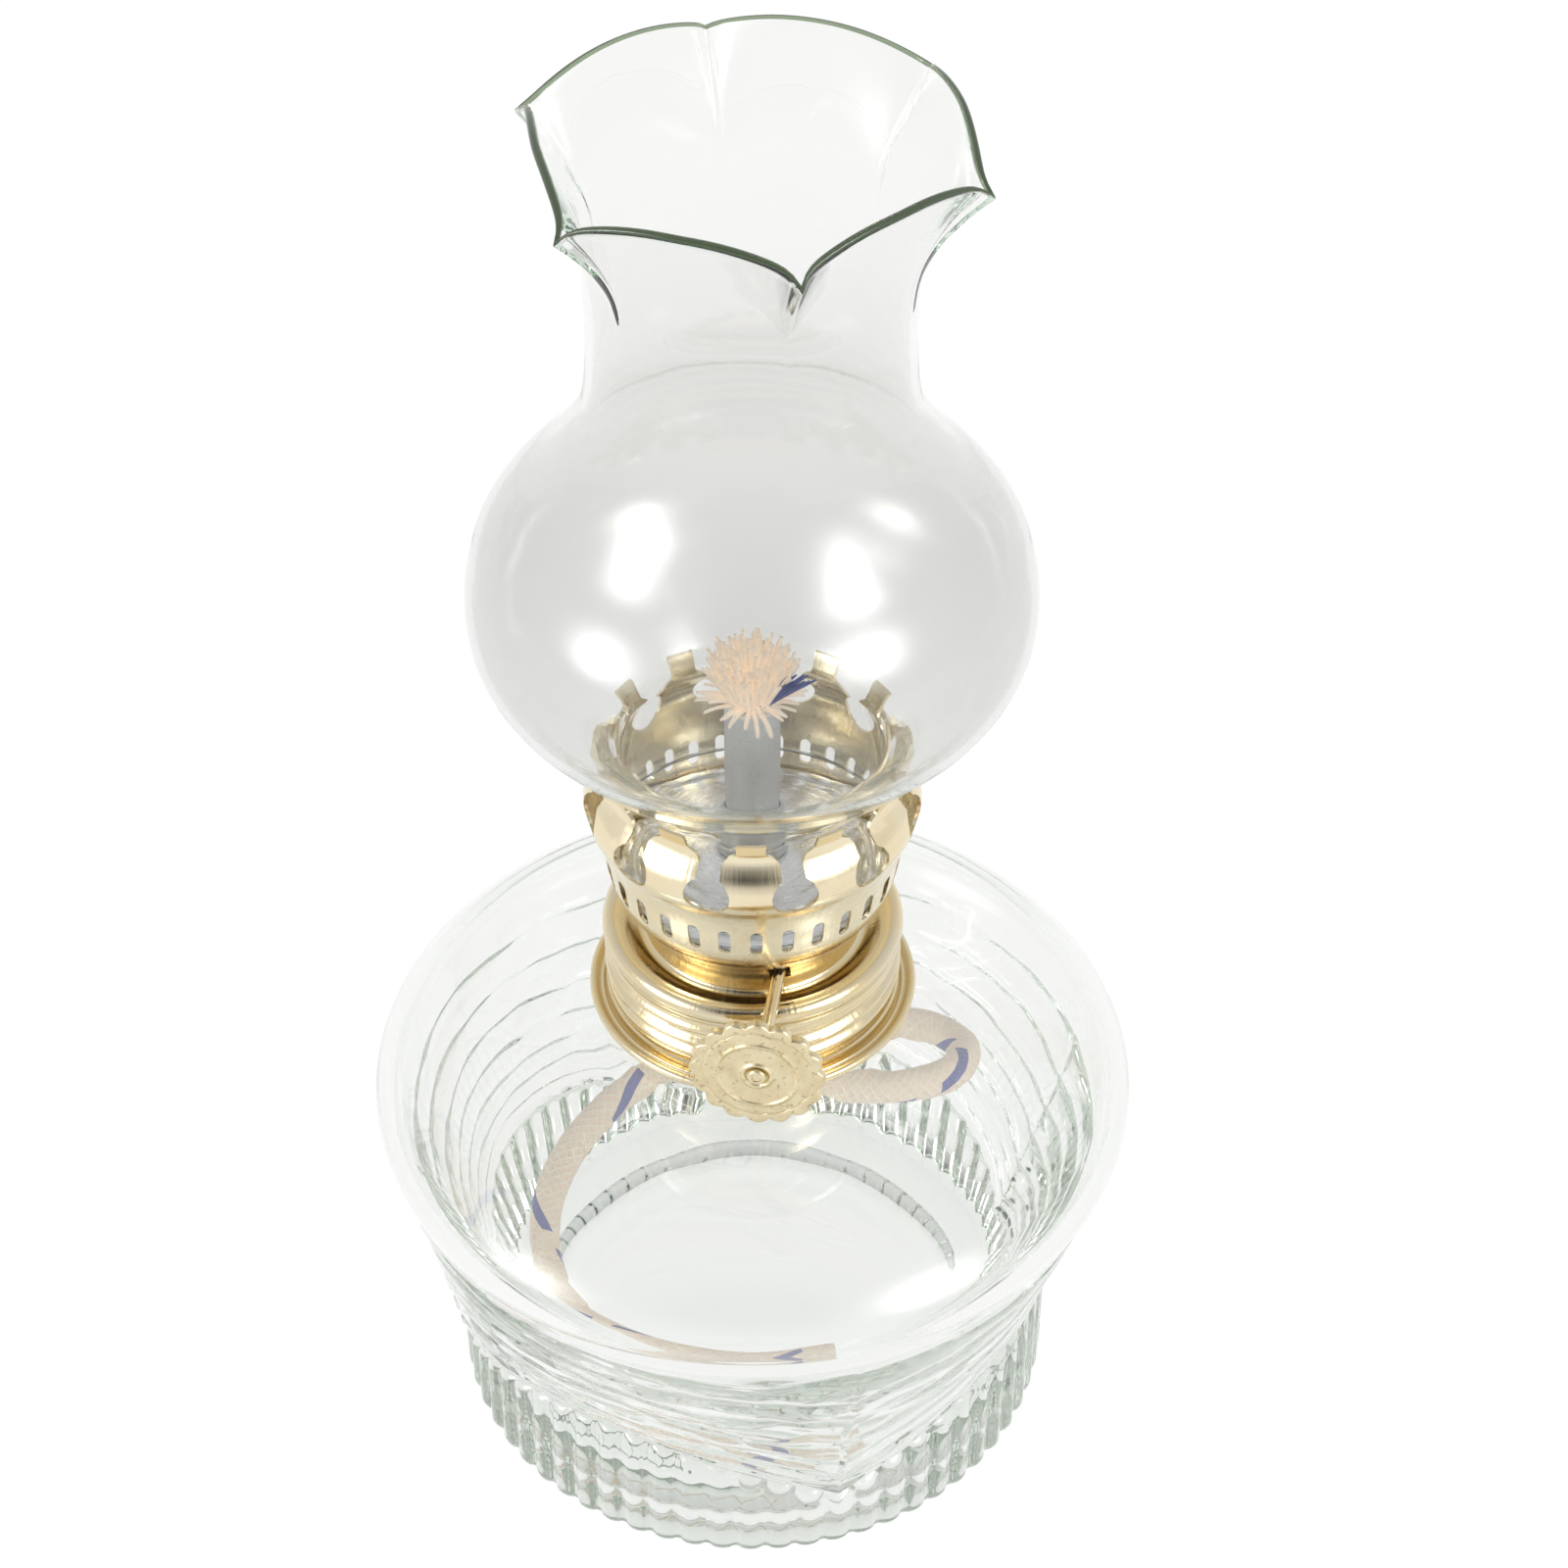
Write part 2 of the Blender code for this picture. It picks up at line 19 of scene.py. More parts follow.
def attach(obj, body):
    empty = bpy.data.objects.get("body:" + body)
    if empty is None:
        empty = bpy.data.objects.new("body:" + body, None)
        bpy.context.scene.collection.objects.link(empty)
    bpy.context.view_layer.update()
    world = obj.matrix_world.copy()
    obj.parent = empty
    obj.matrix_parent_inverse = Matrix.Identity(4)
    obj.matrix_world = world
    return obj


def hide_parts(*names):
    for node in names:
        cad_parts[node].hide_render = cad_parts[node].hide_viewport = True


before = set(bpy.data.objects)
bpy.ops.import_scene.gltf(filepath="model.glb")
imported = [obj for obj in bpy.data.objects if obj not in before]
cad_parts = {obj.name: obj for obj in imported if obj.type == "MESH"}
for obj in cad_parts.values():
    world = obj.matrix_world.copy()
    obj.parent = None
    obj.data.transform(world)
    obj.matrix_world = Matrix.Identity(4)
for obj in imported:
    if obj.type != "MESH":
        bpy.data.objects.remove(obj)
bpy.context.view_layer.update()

log = logging.getLogger("oil_lamp")
MM = 0.001
TAU = 2 * math.pi
# The angle that spaces points evenly over a disc, as in a sunflower's head
GOLDEN_ANGLE = 2.39996
# Added to a ring's radius to say that it carries the thread
THREAD_MARK = 100.0
# The raiser's shaft: its bearing, and its side step and height from the lamp's axis and the table
SHAFT_BEARING = math.radians(-8.3)
SHAFT_OFFSET = 5.85
SHAFT_HEIGHT = 89.5
SHAFT_HOLE = 2.9
Point = tuple[float, float]
Place = Callable[[np.ndarray, np.ndarray, np.ndarray], tuple[np.ndarray, np.ndarray]]


class Slot(enum.Enum):
    """Names for the material slots."""

    CLEAR_GLASS = "clear_glass"
    THIN_GLASS = "thin_glass"
    BRASS = "plated_brass"
    STEEL = "tinned_steel"
    ZINC = "zinc_tube"
    RUBBER = "seal_rubber"
    COTTON = "cotton"
    BLUE = "blue_cotton"


# ---------------------------------------------------------------- node wiring
class Wiring:
    """Adds nodes to one node tree and joins them."""

    def __init__(self, tree: bpy.types.NodeTree) -> None:
        """Keeps the tree that nodes go into."""
        self.tree = tree

    def add(self, kind: str, *values: object, **settings: object) -> bpy.types.Node:
        """Adds a node.

        Args:
            kind: the node's type.
            values: a number or a socket for each input in order, or None to leave it.
            settings: the node's own properties.

        Returns:
            The new node.
        """
        node = self.tree.nodes.new(kind)
        for name, value in settings.items():
            setattr(node, name, value)
        for socket, value in zip(node.inputs, values):
            self.put(socket, value)
        return node

    def put(self, socket: bpy.types.NodeSocket, value: object) -> None:
        """Sets an input to a number, or joins another socket to it."""
        if isinstance(value, bpy.types.NodeSocket):
            self.tree.links.new(value, socket)
        elif value is not None:
            socket.default_value = value

    def math(self, operation: str, first: object, second: object = None) -> bpy.types.NodeSocket:
        """A Math node's result."""
        return self.add("ShaderNodeMath", first, second, operation=operation).outputs[0]

    def times(self, first: object, second: object) -> bpy.types.NodeSocket:
        """Two values multiplied."""
        return self.math("MULTIPLY", first, second)

    def plus(self, first: object, second: object) -> bpy.types.NodeSocket:
        """Two values added."""
        return self.math("ADD", first, second)

    def noise(self, place: bpy.types.NodeSocket, scale: object, detail: float = 2.0) -> bpy.types.NodeSocket:
        """A noise texture's value."""
        node = self.add("ShaderNodeTexNoise")
        for name, value in (("Vector", place), ("Scale", scale), ("Detail", detail)):
            self.put(node.inputs[name], value)
        return node.outputs[0]

    def own_place(self) -> bpy.types.NodeSocket:
        """The shaded point in the object's own frame."""
        return self.add("ShaderNodeTexCoord").outputs["Object"]

    def from_axis(self, x: bpy.types.NodeSocket, y: bpy.types.NodeSocket) -> bpy.types.NodeSocket:
        """A point's distance from the lamp's axis."""
        return self.math("SQRT", self.plus(self.times(x, x), self.times(y, y)))

    def ramp(self, factor: bpy.types.NodeSocket, stops: Sequence[tuple[float, tuple]]) -> bpy.types.NodeSocket:
        """A colour ramp's colour, from (position, colour) stops."""
        node = self.add("ShaderNodeValToRGB", factor)
        ramp = node.color_ramp
        for index, (position, colour) in enumerate(stops):
            element = ramp.elements[index] if index < 2 else ramp.elements.new(position)
            element.position = position
            element.color = (*colour, 1)
        return node.outputs["Color"]

    def mix(self, factor: object, first: object, second: object) -> bpy.types.NodeSocket:
        """A mix of two colours."""
        node = self.tree.nodes.new("ShaderNodeMix")
        node.data_type = "RGBA"
        self.put(node.inputs["Factor"], factor)
        self.put(node.inputs["A"], (*first, 1) if isinstance(first, tuple) else first)
        self.put(node.inputs["B"], (*second, 1) if isinstance(second, tuple) else second)
        return node.outputs["Result"]

    def spread(self, value: bpy.types.NodeSocket, low: float, high: float) -> bpy.types.NodeSocket:
        """A value from 0 to 1 mapped to the stretch from low to high."""
        return self.add("ShaderNodeMapRange", value, 0.0, 1.0, low, high).outputs["Result"]

    def share(self, value: bpy.types.NodeSocket, low: object, high: object) -> bpy.types.NodeSocket:
        """How far a value has come from low to high, from 0 to 1."""
        return self.add("ShaderNodeMapRange", value, low, high, 0.0, 1.0).outputs["Result"]


class Effects:
    """The shader node groups that several finishes share, each built once."""

    def __init__(self) -> None:
        """Builds every group."""
        self.rubbed = self._rubbed()
        self.mottle = self._mottle()
        self.braid = self._braid()

    @staticmethod
    def _group(name: str, inputs: Sequence[tuple[str, str, object]], outputs: Sequence[tuple[str, str]]) -> Wiring:
        """An empty shader group with these sockets."""
        tree = bpy.data.node_groups.new(name, "ShaderNodeTree")
        for label, kind, value in inputs:
            socket = tree.interface.new_socket(name=label, in_out="INPUT", socket_type=kind)
            socket.default_value = value
        for label, kind in outputs:
            tree.interface.new_socket(name=label, in_out="OUTPUT", socket_type=kind)
        return Wiring(tree)

    def _rubbed(self) -> bpy.types.NodeTree:
        """Fine rubbing marks: round the lamp's axis when Turned is 1, up and down it when 0."""
        inputs = [("Grain", "NodeSocketFloat", 1400.0), ("Turned", "NodeSocketFloat", 1.0)]
        inputs += [("Seed", "NodeSocketFloat", 0.0)]
        w = self._group("rubbed_metal", inputs, [("Marks", "NodeSocketFloat"), ("Scuffs", "NodeSocketFloat")])
        given = w.add("NodeGroupInput")
        place = w.own_place()
        x, y, z = w.add("ShaderNodeSeparateXYZ", place).outputs
        radius, bearing = w.from_axis(x, y), w.math("ARCTAN2", x, y)
        turned = given.outputs["Turned"]
        upright = w.math("SUBTRACT", 1.0, turned)
        # Across the marks the pattern is fine, along them it is stretched out
        across = w.times(w.plus(radius, z), turned)
        around = w.times(w.times(bearing, 0.02), upright)
        fine = w.times(w.plus(across, around), given.outputs["Grain"])
        round_run, up_run = w.times(bearing, w.times(turned, 0.9)), w.times(w.times(z, upright), 60.0)
        along = w.times(w.plus(round_run, up_run), 2.0)
        coords = w.add("ShaderNodeCombineXYZ", fine, along, given.outputs["Seed"])
        marks = w.noise(coords.outputs[0], 1.0, 3.0)
        scuffs = w.share(w.noise(place, 330.0, 5.0), 0.56, 0.72)
        w.add("NodeGroupOutput", marks, scuffs)
        return w.tree

    def _mottle(self) -> bpy.types.NodeTree:
        """Two tones in soft patches, with small specks."""
        inputs = [("Tone", "NodeSocketColor", (0.8, 0.7, 0.4, 1)), ("Patch", "NodeSocketColor", (0.6, 0.5, 0.3, 1))]
        inputs += [("Size", "NodeSocketFloat", 120.0), ("Amount", "NodeSocketFloat", 0.5)]
        w = self._group("mottled_tone", inputs, [("Colour", "NodeSocketColor"), ("Specks", "NodeSocketFloat")])
        given = w.add("NodeGroupInput")
        place = w.own_place()
        soft = w.share(w.noise(place, given.outputs["Size"], 4.0), 0.38, 0.66)
        colour = w.mix(w.times(soft, given.outputs["Amount"]), given.outputs["Tone"], given.outputs["Patch"])
        w.add("NodeGroupOutput", colour, w.share(w.noise(place, 1500.0), 0.60, 0.70))
        return w.tree

    def _braid(self) -> bpy.types.NodeTree:
        """Braided yarn on a cord's own map, whose U runs round it and V along it in cord widths."""
        inputs = [("Strands", "NodeSocketFloat", 9.0), ("Twist", "NodeSocketFloat", 3.0)]
        w = self._group("braided_yarn", inputs, [("Height", "NodeSocketFloat"), ("Tracer", "NodeSocketFloat")])
        given = w.add("NodeGroupInput")
        u, v, _ = w.add("ShaderNodeSeparateXYZ", w.add("ShaderNodeUVMap", uv_map="cord").outputs[0]).outputs
        run = w.times(v, given.outputs["Twist"])
        lanes = w.times(u, given.outputs["Strands"])
        left = w.math("SINE", w.times(w.plus(lanes, run), TAU))
        right = w.math("SINE", w.times(w.math("SUBTRACT", lanes, run), TAU))
        height = w.spread(w.math("MAXIMUM", left, right), 0.0, 1.0)
        rough = w.plus(w.times(height, 0.7), w.times(w.noise(w.own_place(), 2600.0), 0.6))
        # A tracer yarn spirals slowly round the cord and dives under at even steps
        lane = w.math("FRACT", w.plus(u, w.times(v, 0.16)))
        on_lane = w.math("LESS_THAN", w.math("ABSOLUTE", w.math("SUBTRACT", lane, 0.5)), 0.06)
        over = w.math("GREATER_THAN", w.math("FRACT", w.times(v, 0.40)), 0.30)
        w.add("NodeGroupOutput", rough, w.times(on_lane, over))
        return w.tree


# ---------------------------------------------------------------- finishes
@dataclass(frozen=True)
class Finish:
    """What every finish has: a name and its plain shader constants."""

    name: str
    metallic: float = 0.0
    roughness: float = 0.5

    def start(self) -> tuple[bpy.types.Material, Wiring, bpy.types.Node]:
        """A fresh material, its wiring and its Principled shader."""
        material = bpy.data.materials.new(self.name)
        material.use_nodes = True
        shader = material.node_tree.nodes["Principled BSDF"]
        shader.inputs["Metallic"].default_value = self.metallic
        shader.inputs["Roughness"].default_value = self.roughness
        return material, Wiring(material.node_tree), shader


@dataclass(frozen=True)
class GlassFinish(Finish):
    """Clear glass, green where a ray runs a long way in it."""

    tint: tuple[float, float, float] = (1.0, 1.0, 1.0)
    body: tuple[float, float, float] = (0.62, 0.80, 0.66)
    density: float = 10.0
    ripple: float = 0.0
    ripple_size: float = 60.0
    # The paler tint of the neck, the rim and the foot, with less painted shade than the globe
    less_shaded_tint: tuple[float, float, float] | None = None
    tint_from: float = 0.160
    tint_to: float = 0.185
    foot_from: float = 0.140
    foot_to: float = 0.122

    def build(self) -> bpy.types.Material:
        """The material: a plain transmitting shader, faint flow lines and absorption inside."""
        material, w, shader = self.start()
        shader.inputs["Base Color"].default_value = (*self.tint, 1)
        if self.less_shaded_tint:
            # Painted shade: the globe's tint is the greyest, and the neck, the rim and the foot are paler
            height = w.add("ShaderNodeSeparateXYZ", w.own_place()).outputs[2]
            above = w.share(height, self.tint_from, self.tint_to)
            share = w.math("MAXIMUM", above, w.share(height, self.foot_from, self.foot_to))
            w.put(shader.inputs["Base Color"], w.mix(share, self.tint, self.less_shaded_tint))
        shader.inputs["Transmission Weight"].default_value = 1.0
        shader.inputs["IOR"].default_value = 1.5
        absorb = w.add("ShaderNodeVolumeAbsorption")
        absorb.inputs["Color"].default_value = (*self.body, 1)
        absorb.inputs["Density"].default_value = self.density
        output = material.node_tree.nodes["Material Output"]
        w.put(output.inputs["Volume"], absorb.outputs[0])
        if self.ripple:
            bump = w.add("ShaderNodeBump", self.ripple)
            bump.inputs["Distance"].default_value = 0.001
            w.put(bump.inputs["Height"], w.noise(w.own_place(), self.ripple_size, 1.5))
            w.put(shader.inputs["Normal"], bump.outputs[0])
        return material


@dataclass(frozen=True)
class RimFinish(Finish):
    """The fire-polished rim, painted dark green: the glass's own green, darkened with painted shade where light
    trapped in the wall comes out.
    """

    # The glass's green, darkened as painted shade
    colour: tuple[float, float, float] = (0.12, 0.165, 0.09)
    clear: float = 0.6

    def build(self) -> bpy.types.Material:
        """The material: part of the light goes through, the rest shows the painted dark green."""
        material, w, shader = self.start()
        paler = tuple(c * 1.5 for c in self.colour)
        w.put(shader.inputs["Base Color"], w.mix(w.noise(w.own_place(), 110.0), self.colour, paler))
        shader.inputs["Transmission Weight"].default_value = self.clear
        shader.inputs["IOR"].default_value = 1.5
        return material


@dataclass(frozen=True)
class MetalFinish(Finish):
    """Sheet metal with patches of tone, rubbing marks and scuffs."""

    metallic: float = 1.0
    tone: tuple[float, float, float] = (0.8, 0.7, 0.4)
    patch: tuple[float, float, float] = (0.7, 0.55, 0.3)
    patch_size: float = 90.0
    patch_amount: float = 0.6
    grain: float = 1400.0
    turned: float = 1.0
    marks: float = 0.05
    scuff_roughness: float = 0.18
    speck_colour: tuple[float, float, float] = (0.3, 0.24, 0.15)
    specks: float = 0.0

    def build(self, effects: Effects) -> bpy.types.Material:
        """The material, with the shared rubbing and mottling at its own values."""
        material, w, shader = self.start()
        rub = w.add("ShaderNodeGroup", node_tree=effects.rubbed)
        rub.inputs["Grain"].default_value = self.grain
        rub.inputs["Turned"].default_value = self.turned
        tone = w.add("ShaderNodeGroup", node_tree=effects.mottle)
        tone.inputs["Tone"].default_value = (*self.tone, 1)
        tone.inputs["Patch"].default_value = (*self.patch, 1)
        tone.inputs["Size"].default_value = self.patch_size
        tone.inputs["Amount"].default_value = self.patch_amount
        colour = tone.outputs["Colour"]
        if self.specks:
            colour = w.mix(w.times(tone.outputs["Specks"], self.specks), colour, self.speck_colour)
        w.put(shader.inputs["Base Color"], colour)
        scuffed = w.times(rub.outputs["Scuffs"], self.scuff_roughness)
        streaked = w.spread(rub.outputs["Marks"], self.roughness - 0.05, self.roughness + 0.09)
        w.put(shader.inputs["Roughness"], w.plus(streaked, scuffed))
        bump = w.add("ShaderNodeBump", self.marks)
        bump.inputs["Distance"].default_value = 0.0004
        w.put(bump.inputs["Height"], rub.outputs["Marks"])
        w.put(shader.inputs["Normal"], bump.outputs[0])
        return material


@dataclass(frozen=True)
class CottonFinish(Finish):
    """Cotton yarn: braided on a cord, plain on loose threads."""

    roughness: float = 0.9
    light: tuple[float, float, float] = (0.98, 0.88, 0.75)
    shade: tuple[float, float, float] = (0.93, 0.76, 0.60)
    tracer: tuple[float, float, float] = (0.10, 0.14, 0.42)
    braided: bool = True
    # Strength of the painted glow, a faint emission that brightens the cotton
    glow: float = 0.22

    def build(self, effects: Effects) -> bpy.types.Material:
        """The material, with sheen as a constant and a painted glow: a faint emission in place of light soaking
        through the fibres.
        """
        material, w, shader = self.start()
        # Painted light: the cotton glows faintly in its light colour, standing in for light soaking through the
        # fibres
        shader.inputs["Emission Color"].default_value = (*self.light, 1)
        shader.inputs["Emission Strength"].default_value = self.glow
        shader.inputs["Sheen Weight"].default_value = 0.35
        shader.inputs["Sheen Roughness"].default_value = 0.5
        height = w.noise(w.own_place(), 900.0)
        if self.braided:
            braid = w.add("ShaderNodeGroup", node_tree=effects.braid)
            height = braid.outputs["Height"]
            plain = w.mix(height, self.shade, self.light)
            w.put(shader.inputs["Base Color"], w.mix(braid.outputs["Tracer"], plain, self.tracer))
        else:
            w.put(shader.inputs["Base Color"], w.mix(height, self.shade, self.light))
        bump = w.add("ShaderNodeBump", 0.6)
        bump.inputs["Distance"].default_value = 0.0003
        w.put(bump.inputs["Height"], height)
        w.put(shader.inputs["Normal"], bump.outputs[0])
        return material


@dataclass(frozen=True)
class RubberFinish(Finish):
    """A moulded seal, dusty in patches."""

    roughness: float = 0.75

    def build(self, effects: Effects) -> bpy.types.Material:
        """The material."""
        material, w, shader = self.start()
        tone = w.add("ShaderNodeGroup", node_tree=effects.mottle)
        tone.inputs["Tone"].default_value = (0.02, 0.02, 0.02, 1)
        tone.inputs["Patch"].default_value = (0.07, 0.065, 0.06, 1)
        w.put(shader.inputs["Base Color"], tone.outputs["Colour"])
        return material


class Palette:
    """Every material of the lamp, built once from its finish."""

    def __init__(self) -> None:
        """Builds the shared effects and each material."""
        fx = Effects()
        self.pressed = GlassFinish(
            "pressed_glass", roughness=0.0, tint=(0.98, 0.982, 0.975), body=(0.40, 0.50, 0.39), density=17.0,
            ripple=0.03, ripple_size=40.0,
        ).build()
        # Painted shade: the blown glass is tinted grey, greyest on the globe and paler on the neck, the rim and the
        # foot
        self.blown = GlassFinish(
            "blown_glass", roughness=0.0, tint=(0.815, 0.811, 0.804), less_shaded_tint=(0.935, 0.932, 0.923),
            body=(0.50, 0.72, 0.54), density=26.0,
        ).build()
        self.rim = RimFinish("rim_glass", roughness=0.06).build()
        plated = dict(turned=0.0, grain=1800.0, marks=0.10)
        self.gallery = MetalFinish(
            "gallery_brass", roughness=0.16, tone=(0.85, 0.76, 0.56), patch=(0.81, 0.67, 0.42), **plated
        ).build(fx)
        self.cap = MetalFinish(
            "cap_brass", roughness=0.14, tone=(0.72, 0.64, 0.47), patch=(0.80, 0.62, 0.30), **plated
        ).build(fx)
        self.knob = MetalFinish(
            "knob_brass", roughness=0.32, tone=(0.80, 0.70, 0.47), patch=(0.68, 0.55, 0.32), patch_size=420.0,
            turned=0.0, marks=0.16, specks=0.75, speck_colour=(0.42, 0.33, 0.18), scuff_roughness=0.25,
        ).build(fx)
        self.steel = MetalFinish(
            "turned_steel", roughness=0.25, tone=(0.94, 0.95, 0.96), patch=(0.82, 0.83, 0.85), grain=2600.0,
            marks=0.22,
        ).build(fx)
        self.zinc = MetalFinish(
            "drawn_zinc", metallic=0.25, roughness=0.36, tone=(0.96, 0.97, 0.98), patch=(0.84, 0.86, 0.88),
            turned=0.0, grain=900.0, marks=0.18, specks=0.5, speck_colour=(0.70, 0.71, 0.73),
        ).build(fx)
        self.rubber = RubberFinish("moulded_rubber").build(fx)
        # Each cotton's glow is painted light, an emission that brightens it
        self.braid = CottonFinish("braided_cotton", glow=0.16).build(fx)
        self.fray = CottonFinish("frayed_cotton", braided=False, glow=0.28).build(fx)
        self.blue = CottonFinish(
            "blue_thread", light=(0.16, 0.20, 0.50), shade=(0.06, 0.08, 0.26), braided=False, glow=0.06
        ).build(fx)


# ---------------------------------------------------------------- shape tools
def smooth_run(points: Sequence[Point], step: float) -> list[Point]:
    """Points about a step apart along a smooth curve through these, in millimetres."""
    made: list[Point] = []
    for i in range(len(points) - 1):
        a, b = np.array(points[i], float), np.array(points[i + 1], float)
        before = np.array(points[i - 1], float) if i else 2 * a - b
        after = np.array(points[i + 2], float) if i + 2 < len(points) else 2 * b - a
        span = np.linalg.norm(b - a)
        slope_a = (b - before) / (span + np.linalg.norm(a - before)) * span
        slope_b = (after - a) / (span + np.linalg.norm(after - b)) * span
        count = max(int(round(span / step)), 1)
        for k in range(count):
            t = k / count
            point = a * (2 * t**3 - 3 * t**2 + 1) + slope_a * (t**3 - 2 * t**2 + t)
            point = point + b * (3 * t**2 - 2 * t**3) + slope_b * (t**3 - t**2)
            made.append((float(point[0]), float(point[1])))
    made.append((float(points[-1][0]), float(points[-1][1])))
    return made


def side_of(way: np.ndarray) -> np.ndarray:
    """The direction a quarter turn clockwise from another, in the outline's plane."""
    return np.array([way[1], -way[0]])


def linked(name: str, mesh: bpy.types.Mesh) -> bpy.types.Object:
    """Links a mesh as an object at the origin."""
    made = bpy.data.objects.new(name, mesh)
    bpy.context.scene.collection.objects.link(made)
    return made


def mesh_of(name: str, bm: bmesh.types.BMesh) -> bpy.types.Mesh:
    """Turns an edit mesh into a plain mesh, and frees it."""
    mesh = bpy.data.meshes.new(name)
    bm.to_mesh(mesh)
    bm.free()
    return mesh


def mesh_object(
    name: str, mesh: bpy.types.Mesh, material: bpy.types.Material, smooth_angle: float = 40.0
) -> bpy.types.Object:
    """Links a mesh as an object at the origin, smooth apart from its sharp edges."""
    mesh.materials.clear()
    mesh.materials.append(material)
    mesh.shade_smooth()
    mesh.set_sharp_from_angle(angle=math.radians(smooth_angle))
    return linked(name, mesh)


def lathe_mesh(name: str, outline: Sequence[Point], sides: int, place: Place | None = None) -> bpy.types.Mesh:
    """Turns a closed outline into a mesh with its faces outwards.

    Args:
        name: the mesh's name.
        outline: (radius, height) in millimetres, counter-clockwise when drawn with the radius to the
            right. If the first and the last point lie on the axis they become poles.
        sides: steps round the axis.
        place: takes radius, height and bearing, and gives the radius and height to use.

    Returns:
        The mesh.
    """
    points = np.array(outline, float)
    poled = points[0, 0] < 1e-9 and points[-1, 0] < 1e-9
    rows = points[1:-1] if poled else points
    bearing = np.arange(sides) * TAU / sides
    radius, height, turn = (g.ravel() for g in np.broadcast_arrays(rows[:, :1], rows[:, 1:], bearing[None, :]))
    if place:
        radius, height = place(radius.copy(), height.copy(), turn.copy())
    verts = np.stack([radius * np.sin(turn), -radius * np.cos(turn), height], 1) * MM
    count = len(rows)
    ring, side = np.meshgrid(np.arange(count if not poled else count - 1), np.arange(sides), indexing="ij")
    after, beyond = (ring + 1) % count, (side + 1) % sides
    faces = np.stack([ring * sides + side, ring * sides + beyond, after * sides + beyond, after * sides + side], -1)
    listed = [tuple(face) for face in faces.reshape(-1, 4).tolist()]
    all_verts = verts.tolist()
    if poled:
        low, high = len(all_verts), len(all_verts) + 1
        all_verts += [(0, 0, points[0, 1] * MM), (0, 0, points[-1, 1] * MM)]
        last = (count - 1) * sides
        for k in range(sides):
            listed.append((low, (k + 1) % sides, k))
            listed.append((high, last + k, last + (k + 1) % sides))
    mesh = bpy.data.meshes.new(name)
    mesh.from_pydata(all_verts, [], listed)
    mesh.validate()
    return mesh


def lathe(
    name: str, outline: Sequence[Point], sides: int, material: bpy.types.Material, place: Place | None = None
) -> bpy.types.Object:
    """A turned object at the origin."""
    return mesh_object(name, lathe_mesh(name, outline, sides, place), material)


def baked(shape: bpy.types.Object, name: str, material: bpy.types.Material | None = None) -> bpy.types.Object:
    """The evaluated shape as a plain mesh in a new object, with the old object and its modifiers gone."""
    bpy.context.view_layer.update()
    graph = bpy.context.evaluated_depsgraph_get()
    mesh = bpy.data.meshes.new_from_object(shape.evaluated_get(graph))
    bpy.data.objects.remove(shape, do_unlink=True)
    mesh.name = name
    if material:
        mesh.materials.clear()
        mesh.materials.append(material)
    return linked(name, mesh)


def bored_for_shaft(
    piece: bpy.types.Object, material: bpy.types.Material, depth: float, forward: float, sharp: float
) -> bpy.types.Object:
    """Cuts the hole that the raiser's shaft passes through.

    Args:
        piece: the piece to cut, which goes.
        material: the cut piece's material.
        depth: the hole's length along the shaft.
        forward: how far from the lamp's axis the hole's middle lies, towards the knob's side.
        sharp: the least angle of an edge that stays sharp, in degrees.

    Returns:
        The cut piece, under the name of the first.
    """
    bm = bmesh.new()
    bmesh.ops.create_cube(bm, size=1, matrix=Matrix.Diagonal((SHAFT_HOLE * MM, depth * MM, SHAFT_HOLE * MM, 1)))
    hole = linked("shaft_hole", mesh_of("shaft_hole", bm))
    spot = Matrix.Translation((SHAFT_OFFSET * MM, -forward * MM, SHAFT_HEIGHT * MM))
    hole.matrix_world = Matrix.Rotation(SHAFT_BEARING, 4, "Z") @ spot
    cut = piece.modifiers.new("shaft hole", "BOOLEAN")
    cut.object, cut.solver, cut.operation = hole, "EXACT", "DIFFERENCE"
    piece = baked(piece, piece.name, material)
    bpy.data.objects.remove(hole, do_unlink=True)
    piece.data.shade_smooth()
    piece.data.set_sharp_from_angle(angle=math.radians(sharp))
    return piece


class Rule:
    """A Geometry Nodes tree with named inputs, put on an object as a modifier."""

    def __init__(self, name: str) -> None:
        """Starts the tree with a mesh coming in and a mesh going out."""
        self.tree = bpy.data.node_groups.new(name, "GeometryNodeTree")
        self.tree.is_modifier = True
        self.tree.interface.new_socket(name="Mesh", in_out="INPUT", socket_type="NodeSocketGeometry")
        self.tree.interface.new_socket(name="Mesh", in_out="OUTPUT", socket_type="NodeSocketGeometry")
        self.w = Wiring(self.tree)
        self.given = self.w.add("NodeGroupInput")
        self.values: dict[str, object] = {}

    def size(self, name: str, kind: str, value: object) -> bpy.types.NodeSocket:
        """A named input with its value.

        Args:
            name: the input's name.
            kind: the socket type's last word, such as Float, Int, Object or Material.
            value: what this object's modifier sets it to.

        Returns:
            The socket to wire from.
        """
        socket = self.tree.interface.new_socket(name=name, in_out="INPUT", socket_type="NodeSocket" + kind)
        self.values[socket.identifier] = value
        return self.given.outputs[name]

    def finish(self, geometry: bpy.types.NodeSocket, material: bpy.types.NodeSocket) -> None:
        """Ends the tree in Realize Instances and Set Material."""
        real = self.w.add("GeometryNodeRealizeInstances", geometry)
        painted = self.w.add("GeometryNodeSetMaterial", real.outputs[0])
        self.w.put(painted.inputs["Material"], material)
        self.w.add("NodeGroupOutput", painted.outputs[0])

    def apply(self, shape: bpy.types.Object, name: str) -> bpy.types.Object:
        """Runs the tree on an object and gives the plain mesh it makes."""
        modifier = shape.modifiers.new(self.tree.name, "NODES")
        modifier.node_group = self.tree
        for identifier, value in self.values.items():
            modifier[identifier] = value
        return baked(shape, name)


